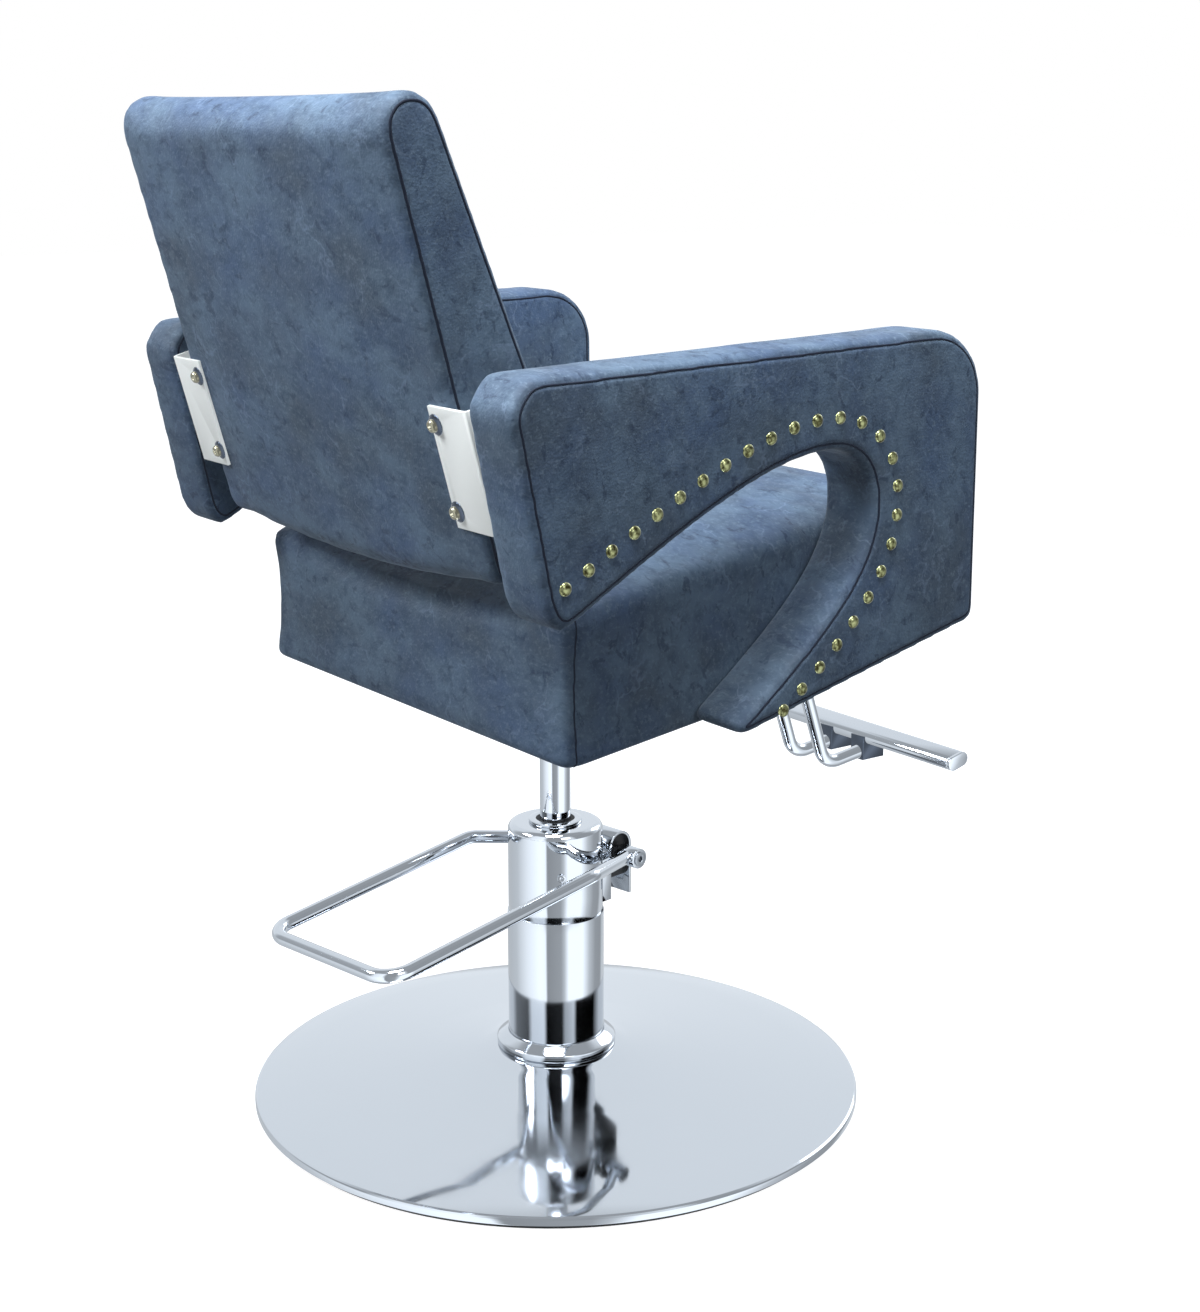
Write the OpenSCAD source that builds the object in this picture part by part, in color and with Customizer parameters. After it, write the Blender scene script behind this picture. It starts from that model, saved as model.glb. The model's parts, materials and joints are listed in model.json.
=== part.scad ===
// Hydraulic salon chair with hook-shaped upholstered arms on a round chromed base.
// Millimetres, Z up, origin under the base on the pump's axis, the sitter faces -Y.

/* [Base] */
// Diameter of the chromed dish
base_d = 600; // [520:5:700]
// Height of the dish's upright lip above the floor
base_lip_h = 14; // [12:1:20]
// Height of the dish where the collar sits
base_h = 50; // [42:1:60]
// Wall of the dish
base_wall = 3; // [2:0.5:4]
// Thickness of the steel plate inside the dish
ballast_t = 8; // [6:1:9]
// Thickness of the rubber pad under the plate
pad_t = 4; // [3:0.5:5]

/* [Pump] */
// Diameter of the lower tube
tube_d = 95; // [88:1:104]
// Height of the lower tube's top above the floor
tube_top = 190; // [170:1:205]
// Height of the cap's top above the floor
cap_top = 281; // [276:1:300]
// Wall of the tube and the cap
pump_wall = 3; // [2:0.5:4]
// Diameter of the chromed ram
ram_d = 30; // [26:1:34]
// Diameter of the ram's head in the cylinder
ram_head_d = 44; // [42:1:46]
// Width of the collar on the dish beyond the tube
collar_w = 11.5; // [8:0.5:16]
// Height of the collar
collar_h = 15; // [10:1:20]

/* [Pedal] */
// Diameter of the bent pedal bar
pedal_rod_d = 13; // [11:0.5:15]
// Reach of the pedal's cross bar from the pump's axis
pedal_reach = 288; // [260:1:292]
// Distance between the pedal's two side bars
pedal_w = 170; // [150:1:190]
// Turn of the pedal away from the chair's rear, about the pump
pedal_turn = 10; // [-30:1:30]
// Distance of the pedal's shaft from the pump's axis
pivot_y = 62; // [61:0.5:64]
// Depth of the pedal's shaft below the cap's top
pivot_drop = 42; // [40:1:45]
// Diameter of the pedal's shaft
pivot_d = 12; // [10:0.5:13]

/* [Seat] */
// Width of the seat cushion
seat_w = 517; // [480:1:560]
// Depth of the seat cushion behind the pump's axis
seat_back_y = 169.7; // [160:0.1:176]
// Depth of the seat cushion in front of the pump's axis
seat_front_y = 279; // [270:1:290]
// Height of the seat's underside on the pump's axis
seat_z = 443; // [438:1:450]
// Upward tilt of the seat towards the front
seat_pitch = 8; // [6:0.5:9]
// Thickness of the seat at its rear edge
seat_rear_h = 129; // [122:1:140]
// Rise of the seat's edge towards the front
seat_swell = 13; // [0:1:20]
// Height of the seat's crown over its edge
seat_crown = 15; // [6:1:17]
// Thickness of the plywood rails
rail_t = 18; // [15:1:20]
// Height of the rails above the seat board
rail_h = 60; // [55:1:62]
// Thickness of the seat board
board_t = 15; // [12:1:16]

/* [Arms] */
// Thickness of an arm
arm_t = 66; // [56:1:76]
// Length of an arm from front to rear
arm_l = 500; // [490:1:520]
// Height of an arm from its foot to its top
arm_h = 333; // [325:1:345]
// Distance of the arm's rear end behind the pump's axis
arm_rear_y = 265; // [262:1:268]
// Height of the arm's foot above the floor
arm_foot_z = 440; // [438:1:446]
// Number of upholstery nails on one arm
nail_count = 26; // [18:1:32]
// Diameter of a nail's head
nail_d = 11.4; // [9:0.2:13]
// Distance of the nails from the edge of the opening
nail_offset = 24; // [20:1:28]

/* [Backrest] */
// Width of the backrest
back_w = 470; // [430:1:486]
// Distance of the backrest's rear foot behind the pump's axis
back_foot_y = 219.4; // [215:0.2:224]
// Height of the backrest's foot above the floor
back_foot_z = 579; // [577:1:590]
// Slope length of the backrest's rear face
back_l = 367; // [350:1:400]
// Lean of the backrest's rear face from upright
back_lean = 15.2; // [13:0.2:18]
// Lean of the backrest's front face from upright
back_front_lean = 22.2; // [20:0.2:23]
// Radius of the rolled top
back_top_r = 28; // [24:1:32]
// Crown of the backrest's front face
back_crown = 12; // [4:1:16]
// Bow of the backrest's lower edge
back_bow = 12; // [0:1:13]

/* [Brackets] */
// Height of a bracket along the backrest's rear face
bracket_h = 104; // [90:1:120]
// Height of a bracket's middle above the backrest's foot
bracket_mid = 102; // [95:1:110]
// Thickness of the bracket's sheet
bracket_t = 3; // [2:0.5:4]
// Overlap of a bracket on the backrest
bracket_lap = 31; // [28:1:40]
// Length of the bracket's leg along the arm
bracket_leg = 58; // [45:1:70]
// Distance between a bracket's two bolts
bracket_pitch = 74; // [60:1:80]

/* [Footrest] */
// Length of the oval foot bar
foot_bar_l = 318; // [260:1:380]
// Width of the oval bar
foot_bar_w = 27; // [24:0.5:32]
// Thickness of the oval bar
foot_bar_t = 15; // [12:0.5:18]
// Upward tilt of the bar's front edge
foot_bar_tilt = 15; // [0:1:25]
// Distance of the bar in front of the pump's axis
foot_bar_y = 390; // [380:1:410]
// Height of the bar's middle above the floor
foot_bar_z = 311; // [300:1:320]
// Diameter of the two bent tubes
foot_tube_d = 14; // [12:0.5:18]
// Distance between the two tubes
foot_tube_gap = 50; // [40:1:70]

/* [Hidden] */
$fn = 72;

// Overrun of every cut
over = 1;
// Clearance of a running fit
run_gap = 0.05;
// Clearance of pieces that lie in a pocket
pocket_gap = 0.2;
// Clearance of a bolt in its hole
bolt_play = 0.3;
// Overlap of a bent bar's pieces, and the step in radius where they meet
seam_lap = 0.5;
seam_step = 0.1;

// Colours
chrome = [0.82, 0.84, 0.87];
dark_steel = [0.20, 0.21, 0.23];
plain_steel = [0.55, 0.56, 0.58];
pale_plate = [0.91, 0.92, 0.89];
rubber = [0.08, 0.08, 0.09];
plywood = [0.76, 0.62, 0.42];
leatherette = [0.31, 0.38, 0.48];
antique_brass = [0.66, 0.60, 0.35];
bronze = [0.60, 0.45, 0.25];

// Sizes that follow from the driving ones
base_r = base_d / 2;
ballast_gap = 0.3;
ballast_r = base_r - base_wall - ballast_gap;
pad_r = ballast_r - pad_t;
plate_top = pad_t + ballast_t;
tube_r = tube_d / 2;
groove = 1;
cap_r = tube_r - groove;
cap_in_r = cap_r - pump_wall;
cap_round = 7;
cap_plate_t = 8;
cap_screw_r = 2.5;
cap_screw_head_r = 4;
cap_screw_head_h = 2;
cap_screw_turn = 62;
cap_screw_drop_share = 0.48;
collar_r = tube_r + collar_w;
collar_band_share = 0.5;
collar_lip = 1.5;
pump_foot_r = 78;
pump_foot_t = 8;
foot_top = plate_top + pump_foot_t;
foot_bolt_pcd = 126;
foot_bolt_count = 4;
bolt_r = 4;
bolt_head_r = 7.2;
bolt_head_h = 5.3;
ram_r = ram_d / 2;
head_r = ram_head_d / 2;
cylinder_wall = 5;
cylinder_r = head_r + run_gap + cylinder_wall;
bush_h = 20;
bush_flange = 3;
bush_lip = 3;
seal_h = 2.4;
seal_w = 4;
bush_bottom = cap_top - bush_h;
head_h = 30;
head_top = bush_bottom - ram_r - cylinder_wall - seal_w;
spigot_r = ram_r - 2;
hub_wall = 11;
hub_r = spigot_r + run_gap + hub_wall;
lift_down = 100;
hub_clear = 5;
washer_t = 2;
shoulder_z = cap_top + bush_lip + lift_down + hub_clear - washer_t;
hub_bottom = shoulder_z + washer_t + run_gap;
plate_t = 6;
spigot_depth = 13;

// The pedal's pieces, in a frame turned with the pedal
pivot_z = cap_top - pivot_drop;
pivot_r = pivot_d / 2;
rod_r = pedal_rod_d / 2;
shroud_wall = 2.5;
shroud_r = pivot_y - cap_r;
shroud_in_r = shroud_r - shroud_wall;
shroud_half = 29;
shroud_rise = 7;
shroud_foot_z = tube_top + 4;
slot_half = 8;
block_half = 24;
block_depth = 25;
block_web = 6;
lever_half = slot_half - 1.5;
lever_boss_r = 11;
nose_r = 5;
nose_y = 35;
lever_lift = 10;
lever_waist = 2.5;
lever_arm = pivot_y - nose_y;
nose_at = [-pivot_y + lever_arm * cos(lever_lift), pivot_z + lever_arm * sin(lever_lift)];
plunger_r = 4;
plunger_head_r = 6;
plunger_head_h = 3;
plunger_play = 0.25;
plunger_top = nose_at[1] - nose_r - plunger_play;
plunger_l = 100;
plunger_y = nose_at[0];
sleeve_wall = 2.3;
spring_l = 20;
sleeve_top = plunger_top - plunger_head_h - spring_l;
spring_wire = 1.6;
spring_r = plunger_r + run_gap + spring_wire;
clamp_r = 10;
clamp_in = shroud_half + 2;
clamp_out = clamp_in + 24;
clamp_end_t = 4;
clamp_mid = (clamp_in + clamp_out) / 2;
socket_r = 7.2;
socket_af = 3.2;
socket_depth = 4;
screw_proud = 1.5;
screw_l = 14;
pedal_half = pedal_w / 2;
pedal_corner_r = 25;
pedal_elbow_r = 30;
pedal_elbow_y = 35;
pedal_hump = 14;
pedal_fall = 18;
window_h = 30;

// The seat's own frame lies on the seat's underside, tilted by seat_pitch
seat_half = seat_w / 2;
seat_l = seat_back_y + seat_front_y;
seat_corner = 16;
seat_pinch = 3;
seat_edge = 6;
seat_dome_l = 150;
swell_share = 0.62;
skin = 16;
frame_half = seat_half - skin;
frame_back = seat_back_y - skin - rail_h * tan(seat_pitch);
frame_front = seat_front_y - skin;
frame_h = board_t + rail_h;
plate_half = 110;
plate_front = 205;
plate_corner = 12;
plate_bolt_at = 85;
arm_bolt_shares = [0.27, 0.07];
arm_bolt_z = board_t + rail_h * 3 / 4;

// The arms
arm_front_y = arm_l - arm_rear_y;
arm_gap = 0.5;
arm_in = seat_half + arm_gap;
arm_out = arm_in + arm_t;
arm_board_t = 18;
arm_board_in = arm_in + (arm_t - arm_board_t) / 2;
arm_rear_r_share = 0.032;
arm_front_r_share = 0.115;
arm_toe_r_share = 0.02;
arm_foot_r_share = 0.0145;
arm_tip_r_share = 0.018;
arm_heel_r_share = 0.08;
curve_steps = 14;
arc_steps = 6;
edge_shares = [[0, 1], [0.022, 0.42], [0.065, 0.12], [0.13, 0]];
arm_edge = 6.5;
nail_h = 3.2;
nail_spread = 8;
nail_start_share = 0.111;
nail_end_share = 1.034;

// Corner points of the arm's outline, as shares of its length from the front and of its height
arm_rear_tip_shares = [0.902, 0.352];
arm_rear_low_shares = [0.930, 0.395];
arm_rear_up_shares = [0.998, 0.880];
arm_rear_top_shares = [0.965, 0.954];
arm_front_top_shares = [0.006, 1.0];
arm_front_low_shares = [0.0, 0.215];
arm_foot_shares = [0.596, -0.010];
// Curves of the opening: from the foot up its front side, and back along its upper side
arm_rise_shares = [[0.562, 0.027], [0.430, 0.190], [0.256, 0.363], [0.256, 0.562]];
arm_turn_shares = [[0.256, 0.562], [0.256, 0.646], [0.286, 0.712], [0.350, 0.712]];
arm_fall_shares = [[0.350, 0.712], [0.470, 0.712], [0.630, 0.589], [0.880, 0.369]];
// Corners of the plywood core inside the arm
arm_core_shares = [
    [0.925, 0.50], [0.962, 0.88], [0.10, 0.94], [0.04, 0.84], [0.04, 0.27], [0.20, 0.175],
    [0.36, 0.135], [0.36, 0.19], [0.225, 0.40], [0.21, 0.62], [0.30, 0.76], [0.52, 0.74]
];

// The backrest's own frame lies on its rear face, with Y out of that face and Z up its slope
back_half = back_w / 2;
back_edge = 7;
back_foot_r = 12;
back_skin = 14;
back_board_half = back_half - 13;
back_board_low = 30;
back_board_high = 300;
back_steps = 6;
back_rear_crown = 4;
back_flat_share = 0.85;
back_top_y = back_foot_y + back_l * sin(back_lean) - back_top_r * cos(back_lean);
back_top_z = back_foot_z + back_l * cos(back_lean) + back_top_r * sin(back_lean);
front_line_y = back_top_y - back_top_r * cos(back_front_lean);
front_line_z = back_top_z + back_top_r * sin(back_front_lean);
front_foot_y = front_line_y - (front_line_z - back_foot_z) * tan(back_front_lean);
small_bolt_r = 3;
small_head_r = 5.6;
small_head_h = 4.2;
dish_washer_r = 9;
dish_washer_h = 2.4;
hex_af_r = 2.6;
hex_depth = 2.6;
bracket_in = back_half - bracket_lap;
bracket_bolt_x = bracket_in + 7;
bracket_bend = bracket_t + 2;
leg_bolt_y = -bracket_leg / 2;

// The footrest
foot_tube_r = foot_tube_d / 2;
foot_tube_x = foot_tube_gap / 2;
foot_slip = 0.1;
foot_block_edge = 16;
foot_block_half = foot_tube_x + foot_block_edge;
foot_block_t = 22;
foot_block_l = 70;
foot_drop = plate_t + foot_block_t / 2;
foot_run_y = 268;
foot_bend_up_r = 28;
foot_bend_low_r = 22;
foot_low_y = 328;
foot_low_z = 286;
foot_end_y = foot_bar_y + 10;
foot_bar_wall = 1.8;
foot_cap_t = 4;
saddle_l = 26;
saddle_w = 19;
saddle_t = 4;
foot_end_z = foot_bar_z - foot_bar_t / 2 - foot_tube_r - pocket_gap;

// Small geometry helpers
function unit(v) = v / norm(v);
function mix(a, b, t) = a + (b - a) * t;
function euler(ex, ey, ez) = [atan2(ey[2], ez[2]), -asin(ex[2]), atan2(ex[1], ex[0])];
function bezier(p, n) = [
    for (i = [0:n]) let (t = i / n, s = 1 - t)
        p[0] * s * s * s + p[1] * (s * s * t * 3) + p[2] * (s * t * t * 3) + p[3] * (t * t * t)
];
// Fillet of radius r at corner b of the path a, b, c
function fillet(a, b, c, r, n) =
    let (u = unit(a - b), w = unit(c - b), half = acos(u * w) / 2, mid = b + unit(u + w) * (r / sin(half)))
    let (start = b + u * (r / tan(half)) - mid, stop = b + w * (r / tan(half)) - mid)
    [for (i = [0:n]) mid + unit(mix(start, stop, i / n)) * r];
// Outward normal of a closed anticlockwise outline at point k
function outward(p, k) =
    let (n = len(p), t = unit(p[(k + 1) % n] - p[(k + n - 1) % n])) [t[1], -t[0]];
function inset(p, d) = [for (k = [0:len(p) - 1]) p[k] - outward(p, k) * d];
// Rounded rectangle with its sides divided, anticlockwise
function rounded(hx, y0, y1, r, na, ns) =
    let (corners = [[hx - r, y1 - r], [r - hx, y1 - r], [r - hx, y0 + r], [hx - r, y0 + r]])
    [
        for (c = [0:3])
            let (a0 = c * 90, here = corners[c], next = corners[(c + 1) % 4])
            for (i = [0:na + ns - 1])
                let (turn = a0 + min(i, na) * 90 / na, slide = max(0, i - na) / ns)
                mix(here, next, slide) + [cos(turn), sin(turn)] * r
    ];
// Running length along a list of points
function run_length(p, k) = k == 0 ? 0 : run_length(p, k - 1) + norm(p[k] - p[k - 1]);
// Point at distance d along a list of points, from point k on
function along(p, d, k) =
    let (s = norm(p[k + 1] - p[k]))
    d <= s || k + 2 >= len(p) ? mix(p[k], p[k + 1], d / s) : along(p, d - s, k + 1);

// Triangles that fill a flat outline p, by cutting off one corner after another
function left_turn(a, b, c) = (b[0] - a[0]) * (c[1] - b[1]) - (b[1] - a[1]) * (c[0] - b[0]);
function holds(a, b, c, q) = left_turn(a, b, q) >= 0 && left_turn(b, c, q) >= 0 && left_turn(c, a, q) >= 0;
function corner(i, k) = let (n = len(i)) [i[(k + n - 1) % n], i[k], i[(k + 1) % n]];
function is_ear(p, i, k) =
    let (t = corner(i, k), a = p[t[0]], b = p[t[1]], c = p[t[2]])
    left_turn(a, b, c) > 0 && len([for (q = i) if (len(search(q, t)) == 0 && holds(a, b, c, p[q])) q]) == 0;
function ear_from(p, i, k) = k + 1 >= len(i) || is_ear(p, i, k) ? k : ear_from(p, i, k + 1);
function ears(p, i) =
    let (k = ear_from(p, i, 0))
    len(i) < 4 ? [i] : concat([corner(i, k)], ears(p, [for (m = [0:len(i) - 1]) if (m != k) i[m]]));

// Skin over a stack of rings with equal point counts, the first ring lowest. Each end is filled
// by the triangles in cap, or by a fan round a middle point.
module ring_skin(rings, cap, root, peak) {
    n = len(rings[0]);
    m = len(rings);
    walls = [
        for (j = [0:m - 2]) for (k = [0:n - 1])
            let (a = j * n + k, b = j * n + (k + 1) % n, c = b + n, d = a + n)
            each [[a, d, c], [a, c, b]]
    ];
    top = (m - 1) * n;
    ends = root == undef
        ? [for (t = cap) each [t, [top + t[2], top + t[1], top + t[0]]]]
        : [
            for (k = [0:n - 1])
                each [[k, (k + 1) % n, m * n], [top + (k + 1) % n, top + k, m * n + 1]]
        ];
    points = [for (r = rings) each r];
    polyhedron(
        points = root == undef ? points : concat(points, [root, peak]),
        faces = concat(ends, walls),
        convexity = 6
    );
}
function fan(n) = [for (k = [1:n - 2]) [0, k, k + 1]];

// Round bar along a list of points with a bend of a given radius at each inner point.
// The bends are a hair thinner and start inside the straight runs, so each seam is a clean step.
module bent_rod(p, bend, r) {
    last = len(p) - 1;
    function cut(i) = i == 0 || i == last
        ? seam_lap
        : bend[i - 1] * tan(acos(unit(p[i] - p[i - 1]) * unit(p[i + 1] - p[i])) / 2);
    for (i = [0:last - 1]) {
        u = unit(p[i + 1] - p[i]);
        translate(p[i] + u * (cut(i) - seam_lap))
            rotate([0, acos(u[2]), atan2(u[1], u[0])])
                cylinder(r = r, h = norm(p[i + 1] - p[i]) - cut(i) - cut(i + 1) + 2 * seam_lap);
    }
    for (i = [1:last - 1]) {
        u = unit(p[i] - p[i - 1]);
        w = unit(p[i + 1] - p[i]);
        n = unit(cross(u, w));
        inward = cross(n, u);
        translate(p[i] - u * cut(i) + inward * bend[i - 1])
            rotate(euler(-inward, u, n))
                rotate_extrude(angle = acos(u * w)) translate([bend[i - 1], 0]) circle(r - seam_step);
    }
}

module tube(r_out, r_in, z0, z1) {
    translate([0, 0, z0]) difference() {
        cylinder(r = r_out, h = z1 - z0);
        translate([0, 0, -over]) cylinder(r = r_in, h = z1 - z0 + 2 * over);
    }
}

// Cylinder along X between two places
module bar_x(r, x0, x1) {
    translate([x0, 0, 0]) rotate([0, 90, 0]) cylinder(r = r, h = x1 - x0);
}

// Hexagon bolt hanging head down, its seat at z = 0 and its shank upwards
module hex_bolt(shank_r, shank_l, head_r, head_h) {
    translate([0, 0, -head_h]) cylinder(r = head_r, h = head_h, $fn = 6);
    cylinder(r = shank_r, h = shank_l);
}

// Socket bolt with a domed head on top of z = 0 and its shank downwards
module socket_bolt(shank_r, shank_l, head_r, head_h) {
    translate([0, 0, -shank_l]) cylinder(r = shank_r, h = shank_l);
    difference() {
        rotate_extrude() polygon([
            [0, 0], [head_r, 0], [head_r, head_h / 2], [head_r - head_h / 4, head_h * 7 / 8],
            [head_r - head_h / 2, head_h], [0, head_h]
        ]);
        translate([0, 0, head_h - hex_depth]) cylinder(r = hex_af_r, h = hex_depth + over, $fn = 6);
    }
}

module on_seat() {
    translate([0, 0, seat_z]) rotate([-seat_pitch, 0, 0]) children();
}

module on_back() {
    translate([0, back_foot_y, back_foot_z]) rotate([-back_lean, 0, 0]) children();
}

module on_pedal() {
    rotate([0, 0, pedal_turn]) children();
}

module both_sides() {
    children();
    mirror([1, 0, 0]) children();
}

// Place in the chair's frame of a point of the seat's frame
function seat_point(x, y, z) = [
    x,
    y * cos(seat_pitch) + z * sin(seat_pitch),
    seat_z - y * sin(seat_pitch) + z * cos(seat_pitch)
];

// Base

module base_pad() {
    color(rubber) cylinder(r = pad_r, h = pad_t);
}

module base_ballast() {
    color(dark_steel) difference() {
        translate([0, 0, pad_t]) cylinder(r = ballast_r, h = ballast_t);
        foot_bolt_holes(pad_t);
    }
}

module foot_bolt_holes(z0) {
    for (a = [0:foot_bolt_count - 1])
        rotate([0, 0, (a + 1 / 2) * 360 / foot_bolt_count])
            translate([foot_bolt_pcd / 2, 0, z0]) cylinder(r = bolt_r, h = foot_top - z0 + over);
}

// Height of the dish, by a power curve that is a straight cone at the rim and steeper at the collar
flare_steps = 14;
flare_power = 0.85;
dish_r0 = collar_r + collar_lip;
dish_r1 = base_r - base_wall;
function dish_z(u) = base_lip_h + (base_h - base_lip_h) * (1 - pow(u, flare_power));
function dish_line(drop) = [
    for (i = [0:flare_steps]) let (u = i / flare_steps) [mix(dish_r0, dish_r1, u), dish_z(u) - drop]
];
function flip(p) = [for (k = [len(p) - 1:-1:0]) p[k]];

module base_disc() {
    hole = tube_r + pocket_gap;
    lip_bottom = pad_t + ballast_t / 4;
    color(chrome) rotate_extrude($fn = 120) polygon(concat(
        [[hole, base_h - base_wall], [hole, base_h]],
        dish_line(0),
        [
            [base_r - base_wall / 4, base_lip_h - base_wall / 3], [base_r, base_lip_h - base_wall],
            [base_r, lip_bottom], [base_r - base_wall, lip_bottom], [base_r - base_wall, plate_top]
        ],
        [[dish_r1 - 2 * base_wall, plate_top]],
        flip([for (p = dish_line(base_wall)) if (p[1] > plate_top) p])
    ));
}

module base_collar() {
    band = collar_h * collar_band_share;
    color(chrome) translate([0, 0, base_h]) rotate_extrude() polygon([
        [tube_r, 0], [collar_r - collar_lip, 0], [collar_r, collar_lip], [collar_r, band],
        [collar_r - collar_lip, band + collar_lip], [tube_r + collar_w / 3, collar_h - collar_lip],
        [tube_r + collar_lip, collar_h], [tube_r, collar_h]
    ]);
}

// Pump

module pump_foot() {
    color(dark_steel) difference() {
        translate([0, 0, plate_top]) cylinder(r = pump_foot_r, h = pump_foot_t);
        foot_bolt_holes(plate_top - over);
    }
}

module foot_bolts() {
    shank = foot_top - pad_t - over;
    color(plain_steel) for (a = [0:foot_bolt_count - 1])
        rotate([0, 0, (a + 1 / 2) * 360 / foot_bolt_count])
            translate([foot_bolt_pcd / 2, 0, foot_top]) mirror([0, 0, 1])
                hex_bolt(bolt_r, shank, bolt_head_r, bolt_head_h);
}

module pump_tube() {
    color(chrome) tube(tube_r, tube_r - pump_wall, foot_top, tube_top);
}

// Opening in the cap for the pedal's lever
module lever_window() {
    translate([-slot_half, -pivot_y - shroud_r, pivot_z - window_h / 2])
        cube([2 * slot_half, pivot_y + shroud_r - cylinder_r, window_h]);
}

module pump_cap() {
    hole = ram_r + cylinder_wall + bush_flange;
    color(chrome) difference() {
        rotate_extrude() polygon(concat(
            [[0, tube_top], [cap_r, tube_top]],
            [
                for (i = [0:arc_steps]) let (a = i * 90 / arc_steps)
                    [cap_r - cap_round + cap_round * cos(a), cap_top - cap_round + cap_round * sin(a)]
            ],
            [[0, cap_top]]
        ));
        translate([0, 0, tube_top - over])
            cylinder(r = cap_in_r, h = cap_top - tube_top - cap_plate_t + over);
        translate([0, 0, bush_bottom]) cylinder(r = hole, h = bush_h + over);
        on_pedal() lever_window();
        cap_screw_place() translate([0, 0, -pump_wall * 3]) cylinder(r = cap_screw_r, h = pump_wall * 4);
    }
}

// The small screw sits in the side of the cap, on the sitter's right towards the rear
module cap_screw_place() {
    rotate([0, 0, cap_screw_turn]) translate([0, cap_r, mix(cap_top, tube_top, cap_screw_drop_share)])
        rotate([-90, 0, 0]) children();
}

module cap_screw() {
    color(chrome) cap_screw_place() {
        difference() {
            cylinder(r = cap_screw_head_r, h = cap_screw_head_h);
            translate([0, 0, cap_screw_head_h / 2])
                cylinder(r = cap_screw_r / 2, h = cap_screw_head_h, $fn = 6);
        }
        translate([0, 0, -pump_wall * 2]) cylinder(r = cap_screw_r, h = pump_wall * 2 + over / 2);
    }
}

module pump_cylinder() {
    color(plain_steel) tube(cylinder_r, head_r + run_gap, foot_top, bush_bottom);
}

module ram_bush() {
    out = ram_r + cylinder_wall + bush_flange;
    color(chrome) difference() {
        union() {
            translate([0, 0, bush_bottom]) cylinder(r = out, h = bush_h);
            translate([0, 0, cap_top]) cylinder(r = out + bush_flange, h = bush_lip);
        }
        translate([0, 0, bush_bottom - over])
            cylinder(r = ram_r + run_gap, h = bush_h + bush_lip + 2 * over);
        translate([0, 0, cap_top + bush_lip - seal_h]) cylinder(r = ram_r + seal_w, h = seal_h + over);
    }
}

module ram_seal() {
    color(rubber) tube(ram_r + seal_w, ram_r + run_gap, cap_top + bush_lip - seal_h, cap_top + bush_lip);
}

// Pedal and the small pump that it works

module shroud_outline(r, foot) {
    translate([-pivot_y, pivot_z + shroud_rise]) circle(r);
    translate([-pivot_y - r, foot]) square([2 * r, pivot_z + shroud_rise - foot]);
}

// Prism along X from an outline drawn in Y and Z
module along_x(half) {
    rotate([90, 0, 90]) translate([0, 0, -half]) linear_extrude(2 * half) children();
}

module pedal_shroud() {
    color(chrome) on_pedal() difference() {
        union() {
            along_x(shroud_half) shroud_outline(shroud_r, shroud_foot_z);
            translate([-shroud_half, -pivot_y, shroud_foot_z])
                cube([2 * shroud_half, pivot_y - cap_r / 2, pivot_z + shroud_rise - shroud_foot_z]);
        }
        along_x(shroud_half + over) shroud_outline(shroud_in_r, shroud_foot_z - over);
        cylinder(r = cap_r, h = cap_top);
        cylinder(r = tube_r, h = tube_top);
        lever_window();
    }
}

module pivot_block() {
    foot = pivot_z - block_depth;
    color(dark_steel) on_pedal() difference() {
        along_x(block_half) shroud_outline(shroud_in_r, foot);
        translate([-slot_half, -pivot_y - shroud_r, foot + block_web])
            cube([2 * slot_half, 2 * shroud_r, block_depth + shroud_r + shroud_rise]);
        translate([0, -pivot_y, pivot_z]) bar_x(pivot_r + run_gap, -block_half - over, block_half + over);
    }
}

module plunger_sleeve() {
    color(plain_steel) on_pedal() translate([0, plunger_y, 0])
        tube(plunger_r + run_gap + sleeve_wall, plunger_r + run_gap, foot_top, sleeve_top);
}

module plunger_spring() {
    color(plain_steel) on_pedal() translate([0, plunger_y, 0])
        tube(spring_r, plunger_r + run_gap, sleeve_top, plunger_top - plunger_head_h);
}

module pump_plunger() {
    color(plain_steel) on_pedal() translate([0, plunger_y, 0]) {
        translate([0, 0, plunger_top - plunger_l]) cylinder(r = plunger_r, h = plunger_l);
        translate([0, 0, plunger_top - plunger_head_h]) cylinder(r = plunger_head_r, h = plunger_head_h);
    }
}

module pedal_shaft() {
    end = clamp_out - clamp_end_t;
    color(plain_steel) on_pedal() translate([0, -pivot_y, pivot_z]) difference() {
        bar_x(pivot_r, -end, end);
        both_sides() bar_x(bolt_r, end - screw_l, end + over);
    }
}

module pedal_lever() {
    color(dark_steel) on_pedal() difference() {
        along_x(lever_half) {
            translate([-pivot_y, pivot_z]) circle(lever_boss_r);
            translate(nose_at) circle(nose_r);
            translate([-pivot_y, pivot_z]) rotate(lever_lift)
                translate([0, lever_waist - nose_r]) square([lever_arm, 2 * nose_r - lever_waist]);
        }
        translate([0, -pivot_y, pivot_z]) bar_x(pivot_r, -slot_half, slot_half);
    }
}

pedal_path = [
    [-clamp_mid, -pivot_y, pivot_z],
    [-pedal_half, pedal_elbow_y, pivot_z + pedal_hump],
    [-pedal_half, pedal_reach, pivot_z - pedal_fall],
    [pedal_half, pedal_reach, pivot_z - pedal_fall],
    [pedal_half, pedal_elbow_y, pivot_z + pedal_hump],
    [clamp_mid, -pivot_y, pivot_z]
];

module pedal_bar() {
    bends = [pedal_elbow_r, pedal_corner_r, pedal_corner_r, pedal_elbow_r];
    color(chrome) on_pedal() difference() {
        bent_rod(pedal_path, bends, rod_r);
        both_sides() translate([0, -pivot_y, pivot_z]) bar_x(clamp_r, clamp_in - rod_r, clamp_out + rod_r);
    }
}

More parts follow.
